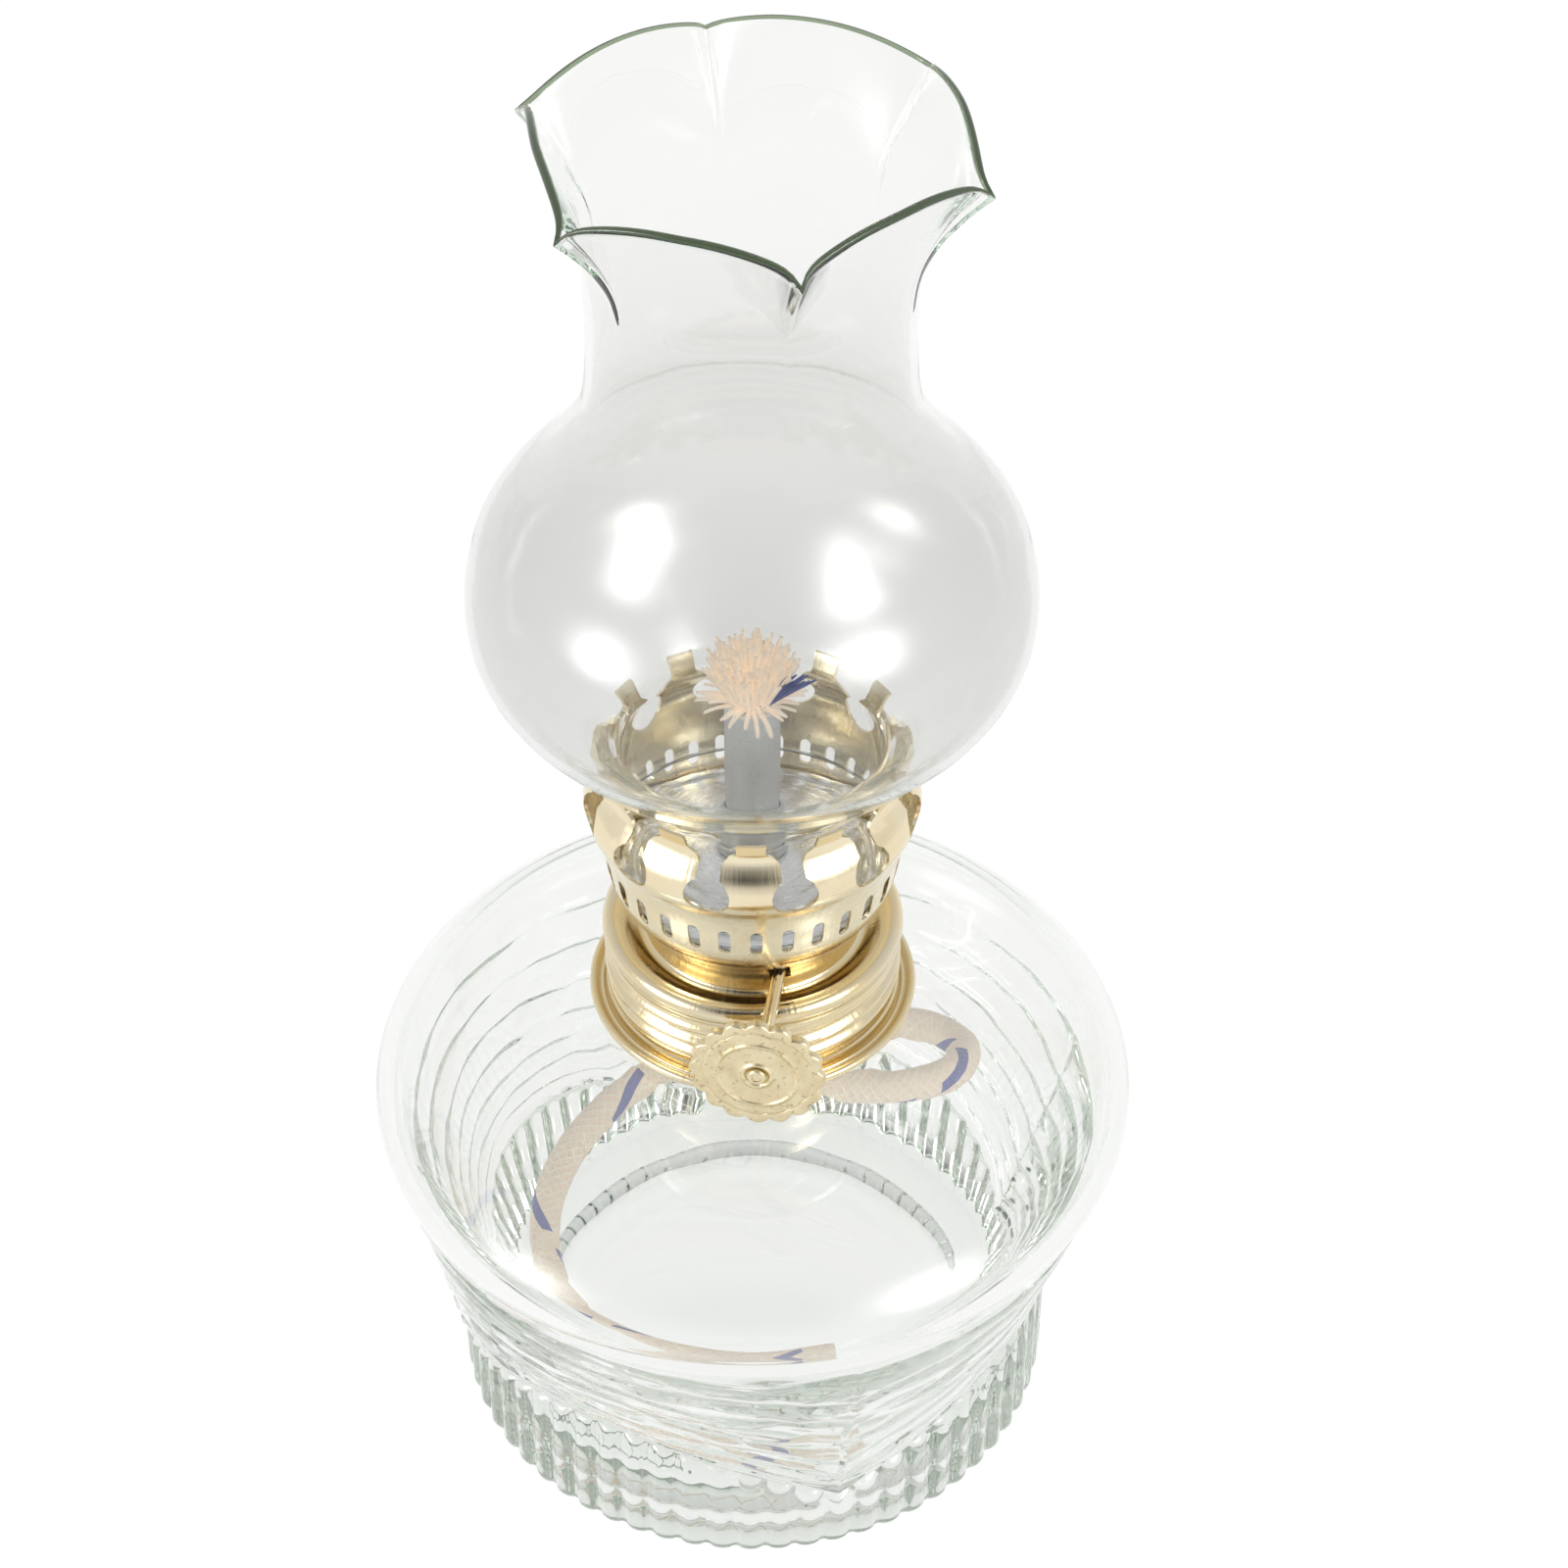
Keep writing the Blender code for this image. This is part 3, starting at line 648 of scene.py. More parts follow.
# ---------------------------------------------------------------- studio
@dataclass
class Studio:
    """Camera, lit white surround and the pale floor."""

    lens: float = 85.0
    camera_at: tuple[float, float, float] = (0.00426, -0.3754, 0.4407)
    camera_tilt: float = 48.663
    camera_roll: float = 0.321
    lamp_strength: float = 12.0

    def build(self) -> None:
        """Sets the camera first, then the floor and the surround."""
        self._camera()
        self._floor()
        self._surround()
        scene = bpy.context.scene
        scene.view_settings.view_transform = "Standard"
        # Light crosses many glass surfaces before it leaves the lamp
        scene.cycles.max_bounces = 32
        scene.cycles.transmission_bounces = 32
        scene.cycles.glossy_bounces = 32
        log.info("studio: camera, floor and surround with two soft lamps")

    def _camera(self) -> None:
        """An 85 mm view from above the knob's side."""
        data = bpy.data.cameras.new("camera")
        data.lens = self.lens
        data.sensor_width = 36.0
        data.clip_start = 0.01
        camera = bpy.data.objects.new("camera", data)
        tilt = Matrix.Rotation(math.radians(self.camera_tilt), 4, "X")
        roll = Matrix.Rotation(math.radians(self.camera_roll), 4, "Z")
        camera.matrix_world = Matrix.Translation(self.camera_at) @ tilt @ roll
        bpy.context.scene.collection.objects.link(camera)
        bpy.context.scene.camera = camera

    def _floor(self) -> None:
        """A plain, evenly lit white floor."""
        bm = bmesh.new()
        bmesh.ops.create_circle(bm, cap_ends=True, segments=96, radius=3.0)
        mesh = mesh_of("floor", bm)
        mesh.transform(Matrix.Translation((0, 0, -0.0002)))
        material = bpy.data.materials.new("pale_floor")
        material.use_nodes = True
        shader = material.node_tree.nodes["Principled BSDF"]
        shader.inputs["Base Color"].default_value = (0.02, 0.02, 0.02, 1)
        shader.inputs["Roughness"].default_value = 1.0
        shader.inputs["Specular IOR Level"].default_value = 0.0
        shader.inputs["Emission Color"].default_value = (1, 1, 1, 1)
        shader.inputs["Emission Strength"].default_value = 1.0
        floor = mesh_object("floor", mesh, material)

    @staticmethod
    def _lobe(
        w: Wiring, direction: bpy.types.NodeSocket, bearing: float, rise: float, width: float
    ) -> bpy.types.NodeSocket:
        """A soft round patch of the surround: 1 in its middle, falling away over its width.

        Args:
            w: the surround's wiring.
            direction: where a ray goes.
            bearing: degrees from the knob's side, to the right.
            rise: degrees above level.
            width: degrees from the middle to where it has fallen to a third.

        Returns:
            The strength socket.
        """
        b, e = math.radians(bearing), math.radians(rise)
        aim = (math.sin(b) * math.cos(e), -math.cos(b) * math.cos(e), math.sin(e))
        along = w.add("ShaderNodeVectorMath", direction, aim, operation="DOT_PRODUCT").outputs["Value"]
        sharpness = 1 / (1 - math.cos(math.radians(width)))
        return w.math("EXPONENT", w.times(w.math("SUBTRACT", along, 1.0), sharpness))

    def _surround(self) -> None:
        """A white tent with two soft lamps, a dim ceiling and a dark gap on the viewer's side."""
        world = bpy.data.worlds.new("surround")
        bpy.context.scene.world = world
        world.use_nodes = True
        w = Wiring(world.node_tree)
        background = world.node_tree.nodes["Background"]
        direction = w.add("ShaderNodeTexCoord").outputs["Generated"]
        _, _, z = w.add("ShaderNodeSeparateXYZ", direction).outputs
        stops = [(0.0, (1, 1, 1)), (0.35, (0.95, 0.95, 0.95)), (0.7, (0.80, 0.80, 0.81)), (1.0, (0.70, 0.70, 0.71))]
        folds = w.spread(w.noise(direction, 2.2), 0.0, 0.4)
        tent = w.mix(folds, w.ramp(z, stops), (0.5, 0.5, 0.51))
        gap = self._lobe(w, direction, 0, 46, 22)
        tent = w.mix(w.math("MINIMUM", w.times(gap, 1.5), 0.94), tent, (0.02, 0.02, 0.02))
        lamps = w.plus(self._lobe(w, direction, -62, 20, 11), self._lobe(w, direction, 53, 30, 11))
        glow = w.times(lamps, self.lamp_strength)
        lit = w.add("ShaderNodeVectorMath", tent, glow, operation="ADD").outputs[0]
        seen = w.mix(w.add("ShaderNodeLightPath").outputs["Is Camera Ray"], lit, (1.0, 1.0, 1.0))
        w.put(background.inputs["Color"], seen)
        background.inputs["Strength"].default_value = 1.0


# ---------------------------------------------------------------- font
@dataclass
class PressedFont:
    """The pressed glass reservoir."""

    flutes: int = 64
    sides_per_flute: int = 7
    groove: float = 42.5
    crest: float = 44.1
    corner: float = math.radians(16.875)
    arch_low: float = 10.5
    arch_high: float = 22.0
    band_top: float = 50.0
    crease: float = 0.62
    crease_share: float = 0.030
    creases: tuple[float, ...] = (0.07, 0.17, 0.28, 0.41, 0.56, 0.73, 0.91)
    thread: float = 0.45
    pitch: float = 2.5
    band: list[Point] = field(
        default_factory=lambda: [(0, 43.4), (0.03, 44.2), (0.25, 46.1), (0.5, 48.2), (0.75, 50.5), (1, 52.7)]
    )
    shoulder: list[Point] = field(
        default_factory=lambda: [
            (52.7, 50), (54.0, 53), (54.4, 56), (53.5, 58.6), (51, 61.2), (46.5, 64), (40, 66.9), (32, 69.5),
            (24, 71.5), (20.4, 72.3), (19.3, 73.4),
        ]
    )
    inside: list[Point] = field(
        default_factory=lambda: [
            (15.0, 82.6), (15.0, 74.0), (16.4, 71.6), (19.2, 70.6), (24, 69.6), (32, 67.5), (40, 64.8), (46, 62),
            (50.2, 59), (52.1, 55.8), (50.8, 50.5), (46.8, 40), (42.4, 28), (40, 18), (37.5, 11), (32, 8), (20, 6.8),
            (0, 6.6),
        ]
    )

    def edge_height(self, bearing: np.ndarray) -> np.ndarray:
        """Height of the band's lower edge, an arch on each side between sharp low corners."""
        quarter = (bearing - self.corner) % (TAU / 4)
        from_middle = np.abs(quarter - TAU / 8) / (TAU / 8)
        return self.arch_high - (self.arch_high - self.arch_low) * from_middle**1.8

    def _flute(self, share: float, bearing: np.ndarray) -> tuple[np.ndarray, np.ndarray]:
        """One ring of the flutes, each a column with a rounded foot and a bead at its head."""
        step = TAU / self.flutes
        off = ((bearing + step / 2) % step) / step * 2 - 1
        height = self.edge_height(bearing) * share
        own_top = self.edge_height(np.round(bearing / step) * step) - 0.5
        bead = np.clip((height - (own_top - 2.0)) / 2.0, 0, 1)
        toe = np.clip((1.1 - height) / 1.1, 0, 1)
        rise = np.sqrt(np.clip(1 - bead**2, 0, 1)) * np.sqrt(np.clip(1 - (toe * 0.9) ** 2, 0, 1))
        column = np.sqrt(np.clip(1 - off**2, 0, 1))
        return self.groove + (self.crest - self.groove) * column * rise, height

    def _band_shares(self) -> list[float]:
        """Where the band's rings lie: close together across each crease and wide apart between."""
        shares = [0.0, 0.01, 0.03, 1.0]
        for line in self.creases:
            shares += [line + self.crease_share * x for x in (-1.0, -0.7, -0.4, -0.15, 0.15, 0.4, 0.7, 1.0)]
        for low, high in zip((0.03, *self.creases), self.creases):
            shares += [low + (high - low) * t for t in (0.38, 0.62)]
        return sorted(shares)[:-1]

    def _band_ring(self, share: float, bearing: np.ndarray, profile: np.ndarray) -> tuple[np.ndarray, np.ndarray]:
        """One ring of the band, with the long wandering creases that the mould leaves in it."""
        edge = self.edge_height(bearing)
        fade = min(1.0, 9 * share, 9 * (1 - share))
        stray = 0.010 * np.sin(8 * bearing + 12 * share) + 0.006 * np.sin(19 * bearing + 25 * share)
        stray = stray + 0.003 * np.sin(43 * bearing + 31 * share)
        height = edge + (self.band_top - edge) * (share + stray * fade)
        radius = np.interp(share, profile[:, 0], profile[:, 1])
        off = min(abs(share - line) / self.crease_share for line in self.creases)
        cut = math.cos(math.pi / 2 * min(off, 1)) ** 2 * self.crease
        depth = 0.62 + 0.28 * np.sin(5 * bearing + 40 * share) + 0.22 * np.sin(13 * bearing - 23 * share)
        quarter = (bearing - self.corner) % (TAU / 4)
        near = np.minimum(quarter, TAU / 4 - quarter)
        seam = np.clip(1 - near / 0.014, 0, 1) * 0.22 * fade
        return radius - cut * np.clip(depth, 0.1, 1) + seam, height

    def build(self, palette: Palette) -> bpy.types.Object:
        """Makes the font's mesh and stands it in for its CAD node."""
        sides = self.flutes * self.sides_per_flute
        profile = np.array(smooth_run(self.band, 0.02))
        bearing = np.arange(sides) * TAU / sides
        rings: list[tuple[np.ndarray, np.ndarray]] = []

        def plain(points: Sequence[Point]) -> None:
            """Adds round, level rings."""
            rings.extend((np.full(sides, float(r)), np.full(sides, float(z))) for r, z in points)

        plain([(1.5, 2.2), (20, 2.1), (30, 1.8), (33, 0.7), (34, 0.05), (34.6, 0), (41.4, 0)])
        for share in (0, 0.03, 0.07, 0.13, 0.2, 0.35, 0.5, 0.65, 0.74, 0.8, 0.84, 0.87, 0.9, 0.92, 0.94, 0.96, 0.98):
            rings.append(self._flute(share, bearing))
        for share in self._band_shares():
            rings.append(self._band_ring(share, bearing, profile))
        plain(smooth_run(self.shoulder, 1.2))
        thread_foot, thread_head, steps = 73.6, 81.9, 28
        for k in range(1, steps + 1):
            z = thread_foot + (thread_head - thread_foot) * k / steps
            strength = min(max(min(z - 73.2, 81.95 - z) / self.pitch, 0), 1)
            phase = z / self.pitch - bearing / TAU
            rings.append((19.1 + self.thread * strength * np.cos(TAU * phase), np.full(sides, z)))
        lip = [(18.9, 82.3), (18.3, 83.0), (17.2, 83.2), (15.8, 83.2), (15.15, 83.0), (15.0, 82.6)]
        plain(smooth_run(lip, 0.4)[:-1] + smooth_run(self.inside, 2.4)[:-1])
        outline = [(0.0, 2.2)] + [(1.0, 1.0)] * len(rings) + [(0.0, 6.6)]
        radii = np.concatenate([r for r, _ in rings])
        heights = np.concatenate([z for _, z in rings])
        mesh = lathe_mesh("pressed_font", outline, sides, lambda r, z, b: (radii, heights))
        font = mesh_object("pressed_font", mesh, palette.pressed, 50)
        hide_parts("glass_font")
        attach(font, "font")
        log.info("pressed_font: %d faces", len(mesh.polygons))
        return font


# ---------------------------------------------------------------- chimney
@dataclass
class RuffledChimney:
    """The blown chimney, whose rim is pinched out at even steps by a rule."""

    wall: float = 1.0
    gather: float = 0.5
    bend_height: float = 119.0
    crimps: int = 6
    first_crimp: float = math.radians(11.7)
    ruffle_start: float = 190.0
    rim_height: float = 211.2
    lobe_out: float = -1.4
    lobe_up: float = 1.2
    crimp_out: float = 2.1
    crimp_up: float = -2.0
    sides: int = 240
    step: float = 1.1
    bead_points: int = 7
    side: list[Point] = field(
        default_factory=lambda: [
            (19.25, 100.5), (19.4, 101.2), (19.4, 109), (19.4, 116.6), (19.7, 118.4), (22.9, 122), (26.2, 125),
            (29.4, 128), (31.9, 131), (34.3, 134), (35.9, 137), (36.8, 140), (37.1, 143), (36.95, 146), (36.4, 149),
            (35.5, 152), (33.9, 155), (31.6, 158), (28.7, 161), (26.4, 164), (24.4, 167), (22.7, 170), (21.5, 173),
            (20.9, 176), (20.6, 179), (20.35, 185), (20.5, 191), (21.1, 197), (22.6, 202), (24.9, 207), (27.2, 211.2),
        ]
    )

    def _outline(self) -> list[Point]:
        """The wall's closed outline: up the outside, over the rounded rim, and down the inside."""
        outer = np.array(smooth_run(self.side, self.step))
        along = np.gradient(outer, axis=0)
        along /= np.linalg.norm(along, axis=1)[:, None]
        # The glass gathers in the tight bend above the foot
        thick = self.wall * (1 + self.gather * np.exp(-(((outer[:, 1] - self.bend_height) / 2.4) ** 2)))
        inner = outer + np.stack([-along[:, 1], along[:, 0]], 1) * thick[:, None]
        half = self.wall / 2
        tip, way = (outer[-1] + inner[-1]) / 2, along[-1]
        side = side_of(way)
        turns = np.linspace(0, math.pi, self.bead_points)
        bead = [tip + side * half * 1.1 * math.cos(a) + way * half * 1.1 * math.sin(a) for a in turns]
        foot, down = (outer[0] + inner[0]) / 2, -along[0]
        turns = np.linspace(0.4, math.pi - 0.4, 5)
        heel = [foot - side_of(down) * half * math.cos(a) + down * half * math.sin(a) for a in turns]
        ring = list(outer[:-1]) + bead + list(inner[:-1][::-1]) + heel
        return [(float(r), float(z)) for r, z in ring]

    def _ruffle(self, material: bpy.types.Material) -> Rule:
        """The rule that pulls the rim out and down at each crimp and lifts the lobes between."""
        rule = Rule("ruffled_rim")
        w = rule.w
        crimps = rule.size("Crimps", "Int", self.crimps)
        first = rule.size("First Crimp", "Float", self.first_crimp)
        lobe_out = rule.size("Lobe Out", "Float", self.lobe_out * MM)
        lobe_up = rule.size("Lobe Up", "Float", self.lobe_up * MM)
        crimp_out = rule.size("Crimp Out", "Float", self.crimp_out * MM)
        crimp_up = rule.size("Crimp Up", "Float", self.crimp_up * MM)
        start = rule.size("Ruffle Start", "Float", self.ruffle_start * MM)
        top = rule.size("Ruffle Top", "Float", self.rim_height * MM)
        paint = rule.size("Material", "Material", material)
        x, y, z = w.add("ShaderNodeSeparateXYZ", w.add("GeometryNodeInputPosition").outputs[0]).outputs
        radius = w.from_axis(x, y)
        bearing = w.math("ARCTAN2", x, w.times(y, -1.0))
        sector = w.math("DIVIDE", TAU, crimps)
        turn = w.math("FLOORED_MODULO", w.math("SUBTRACT", bearing, first), sector)
        off = w.math("ABSOLUTE", w.math("SUBTRACT", w.math("DIVIDE", turn, sector), 0.5))
        near = w.times(off, 2.0)
        # Pull is 1 at a crimp and 0 in the middle of a lobe, with a nib pinched out at the crimp itself
        nib = w.times(w.math("POWER", near, 18.0), 0.32)
        pull = w.plus(w.times(w.math("POWER", near, 2.4), 0.80), nib)
        share = w.math("POWER", w.share(z, start, top), 1.8)
        out = w.plus(w.times(pull, w.math("SUBTRACT", crimp_out, lobe_out)), lobe_out)
        up = w.plus(w.times(pull, w.math("SUBTRACT", crimp_up, lobe_up)), lobe_up)
        grow = w.plus(1.0, w.math("DIVIDE", w.times(out, share), radius))
        spot = w.add("ShaderNodeCombineXYZ", w.times(x, grow), w.times(y, grow), w.plus(z, w.times(up, share)))
        moved = w.add("GeometryNodeSetPosition", rule.given.outputs["Mesh"])
        w.put(moved.inputs["Position"], spot.outputs[0])
        rule.finish(moved.outputs[0], paint)
        return rule

    def _paint_rim(self, mesh: bpy.types.Mesh, material: bpy.types.Material) -> None:
        """Gives the bead round the rim its own material: the faces between the two walls' last rings."""
        mesh.materials.append(material)
        sides, first = self.sides, len(smooth_run(self.side, self.step)) - 1
        for face in mesh.polygons:
            rings = {corner // sides for corner in face.vertices}
            if min(rings) > first and max(rings) < first + self.bead_points:
                face.material_index = 1

    def build(self, palette: Palette) -> bpy.types.Object:
        """Makes the chimney and stands it in for its CAD node."""
        turn = Matrix.Rotation(self.first_crimp, 4, "Z")
        mesh = lathe_mesh("chimney_wall", self._outline(), self.sides)
        mesh.transform(turn)
        chimney = self._ruffle(palette.blown).apply(mesh_object("chimney_base", mesh, palette.blown), "blown_chimney")
        chimney.data.shade_smooth()
        self._paint_rim(chimney.data, palette.rim)
        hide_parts("chimney")
        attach(chimney, "chimney")
        log.info("blown_chimney: %d faces", len(chimney.data.polygons))
        return chimney


# ---------------------------------------------------------------- burner
@dataclass
class Gallery:
    """The pronged crown that holds the chimney, pierced by a rule and bent to its bowl."""

    prongs: int = 12
    vents: int = 30
    blank: float = 21.0
    sheet: float = 0.5
    low: float = 86.6
    high: float = 118.3
    vent_bearing: float = math.radians(2.0)
    bowl: list[Point] = field(
        default_factory=lambda: [
            (15.2, 86.6), (15.2, 89.3), (16.0, 90.7), (17.4, 92.4), (18.7, 94.4), (19.6, 96.6), (20.2, 99),
            (20.8, 102.5), (21.7, 105.6), (22.7, 108.0), (22.9, 109.6), (22.4, 111.5), (21.0, 113.5), (20.35, 114.6),
            (20.3, 115.6), (20.7, 116.9), (21.4, 118.3),
        ]
    )

    def _keyhole(self) -> list[Point]:
        """The opening between two prongs: a round hole, a narrow neck and a wide top."""
        radius, middle, neck = 2.9, 109.9, 1.55
        reach = math.asin(neck / radius)
        outline = []
        for i in range(29):
            turn = reach + (TAU - 2 * reach) * i / 28
            outline.append((radius * math.sin(turn), middle + radius * math.cos(turn)))
        left = [(-neck, 112.9), (-neck, 114.0), (-2.2, 115.0), (-3.35, 115.8), (-3.5, 116.6), (-3.35, 119.5)]
        left = smooth_run(left, 0.3)
        return outline + left + [(-x, z) for x, z in left[::-1]]

    def _vent(self) -> list[Point]:
        """A tall slot with round ends."""
        half, low, high = 0.85, 98.4, 101.5
        upper = [(half * math.cos(a), high + half * math.sin(a)) for a in np.linspace(0, math.pi, 9)]
        lower = [(half * math.cos(a), low + half * math.sin(a)) for a in np.linspace(math.pi, TAU, 9)]
        return upper + lower

    def _punch(self, name: str, outline: Sequence[Point]) -> bpy.types.Object:
        """A closed prism of this outline, across the blank's wall on the knob's side."""
        bm = bmesh.new()
        near = [bm.verts.new((x * MM, -(self.blank + 3) * MM, z * MM)) for x, z in outline]
        far = [bm.verts.new((x * MM, -(self.blank - 3) * MM, z * MM)) for x, z in outline]
        bm.faces.new(near)
        bm.faces.new(far[::-1])
        for i in range(len(outline)):
            bm.faces.new((near[i - 1], far[i - 1], far[i], near[i]))
        bmesh.ops.recalc_face_normals(bm, faces=bm.faces)
        made = linked(name, mesh_of(name, bm))
        made.hide_render = True
        return made

    @staticmethod
    def _array(
        rule: Rule, count: bpy.types.NodeSocket, first: bpy.types.NodeSocket, punch: bpy.types.NodeSocket
    ) -> bpy.types.NodeSocket:
        """Copies of a punch at even bearings."""
        w = rule.w
        line = w.add("GeometryNodeMeshLine", count)
        line.inputs["Offset"].default_value = (0, 0, 0)
        shape = w.add("GeometryNodeObjectInfo", punch)
        index = w.add("GeometryNodeInputIndex").outputs[0]
        turn = w.plus(w.times(w.math("DIVIDE", TAU, count), index), first)
        copies = w.add("GeometryNodeInstanceOnPoints", line.outputs[0])
        w.put(copies.inputs["Instance"], shape.outputs["Geometry"])
        spin = w.add("ShaderNodeCombineXYZ", 0.0, 0.0, turn)
        w.put(copies.inputs["Rotation"], w.add("FunctionNodeEulerToRotation", spin.outputs[0]).outputs[0])
        return w.add("GeometryNodeRealizeInstances", copies.outputs[0]).outputs[0]

    def _rule(self, material: bpy.types.Material, keyhole: bpy.types.Object, vent: bpy.types.Object) -> Rule:
        """Punches the straight blank and bends it to the bowl."""
        rule = Rule("gallery_sheet")
        w = rule.w
        prongs = rule.size("Prongs", "Int", self.prongs)
        vents = rule.size("Vents", "Int", self.vents)
        blank = rule.size("Blank Radius", "Float", self.blank * MM)
        first_slot = rule.size("First Slot", "Float", TAU / self.prongs / 2)
        first_vent = rule.size("First Vent", "Float", self.vent_bearing)
        punch = rule.size("Keyhole Punch", "Object", keyhole)
        vent_punch = rule.size("Vent Punch", "Object", vent)
        paint = rule.size("Material", "Material", material)
        cutters = w.add("GeometryNodeJoinGeometry")
        for count, first, shape in ((prongs, first_slot, punch), (vents, first_vent, vent_punch)):
            w.tree.links.new(self._array(rule, count, first, shape), cutters.inputs[0])
        cut = w.add("GeometryNodeMeshBoolean", operation="DIFFERENCE", solver="EXACT")
        w.put(cut.inputs["Mesh 1"], rule.given.outputs["Mesh"])
        w.put(cut.inputs["Mesh 2"], cutters.outputs[0])
        x, y, z = w.add("ShaderNodeSeparateXYZ", w.add("GeometryNodeInputPosition").outputs[0]).outputs
        radius = w.from_axis(x, y)
        bowl = w.add("ShaderNodeFloatCurve")
        curve = bowl.mapping.curves[0]
        span = self.high - self.low
        # A curve runs from 0 to 1, so its radii are shares of this one
        whole = 40.0
        points = [((z_at - self.low) / span, r / whole) for r, z_at in self.bowl]
        curve.points[0].location, curve.points[1].location = points[0], points[-1]
        for point in points[1:-1]:
            curve.points.new(*point)
        bowl.mapping.update()
        w.put(bowl.inputs["Value"], w.share(z, self.low * MM, self.high * MM))
        wanted = w.plus(w.times(bowl.outputs[0], whole * MM), w.math("SUBTRACT", radius, blank))
        grow = w.math("DIVIDE", wanted, radius)
        spot = w.add("ShaderNodeCombineXYZ", w.times(x, grow), w.times(y, grow), z)
        bent = w.add("GeometryNodeSetPosition", cut.outputs[0])
        w.put(bent.inputs["Position"], spot.outputs[0])
        rule.finish(bent.outputs[0], paint)
        return rule

    def build(self, palette: Palette) -> bpy.types.Object:
        """Makes the gallery and stands it in for its CAD node."""
        keyhole, vent = self._punch("keyhole_punch", self._keyhole()), self._punch("vent_punch", self._vent())
        outer = [(self.blank, z) for z in np.arange(self.low, self.high + 0.01, 0.45)]
        inner = [(self.blank - self.sheet, z) for _, z in outer[::-1]]
        blank = lathe("gallery_blank", outer + inner, 240, palette.gallery)
        crown = self._rule(palette.gallery, keyhole, vent).apply(blank, "pronged_gallery")
        crown = bored_for_shaft(crown, palette.gallery, 5, 14, 38)
        for helper in (keyhole, vent):
            bpy.data.objects.remove(helper, do_unlink=True)
        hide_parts("crown_gallery")
        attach(crown, "burner")
        log.info("pronged_gallery: %d faces", len(crown.data.polygons))
        return crown


@dataclass
class ScrewCap:
    """The cap that screws on the font, with rolled foot, threaded skirt and hollow shoulder."""

    pitch: float = 2.5
    thread: float = 0.45
    outer_radius: float = 20.3
    inner_radius: float = 19.75
    thread_low: float = 75.8
    thread_high: float = 84.55

    @staticmethod
    def _wall(base: float, levels: np.ndarray) -> list[Point]:
        """Threaded rings, marked in their radius for the placing rule."""
        return [(base + THREAD_MARK, float(z)) for z in levels]

    def _place(
        self, radius: np.ndarray, height: np.ndarray, bearing: np.ndarray
    ) -> tuple[np.ndarray, np.ndarray]:
        """Takes the mark off threaded rings and gives them their thread."""
        threaded = radius > THREAD_MARK
        strength = np.clip(np.minimum(height - self.thread_low, self.thread_high - height) / self.pitch, 0, 1)
        wave = np.cos(TAU * (height / self.pitch - bearing / TAU))
        return np.where(threaded, radius - THREAD_MARK + self.thread * strength * wave, radius), height

    def build(self, palette: Palette) -> bpy.types.Object:
        """Makes the cap and stands it in for its CAD node."""
        levels = np.arange(self.thread_low, self.thread_high + 0.01, 0.3)
        wire = [
            (20.5, 74.2), (20.9, 73.75), (21.7, 73.7), (22.3, 73.75), (22.8, 73.95), (23.0, 74.4), (22.9, 74.8),
            (22.6, 75.05),
        ]
        channel = [
            (22.2, 75.0), (21.95, 74.7), (21.75, 74.35), (21.3, 74.2), (20.95, 74.4), (20.75, 75.0), (20.6, 75.6)
        ]
        shoulder = [
            (20.6, 84.8), (20.95, 85.5), (20.8, 86.6), (19.9, 87.35), (18.6, 87.0), (16.9, 85.7), (15.6, 85.25),
            (14.75, 85.7), (14.4, 86.8), (14.4, 90.6),
        ]
        under = [
            (13.85, 90.6), (13.85, 86.4), (14.2, 85.2), (15.4, 84.75), (17.1, 84.9), (18.7, 86.2), (19.7, 86.6),
            (20.2, 85.9), (20.1, 85.0),
        ]
        inner = self._wall(self.inner_radius, levels)[::-1]
        rings = smooth_run(wire + channel, 0.2) + self._wall(self.outer_radius, levels)
        rings += smooth_run(shoulder, 0.3) + smooth_run(under, 0.4) + inner + [(20.35, 75.3)]
        cap = lathe("screw_cap_brass", rings, 192, palette.cap, self._place)
        cap = bored_for_shaft(cap, palette.cap, 8, 13.2, 40)
        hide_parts("screw_cap")
        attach(cap, "burner")
        log.info("screw_cap_brass: %d faces", len(cap.data.polygons))
        return cap


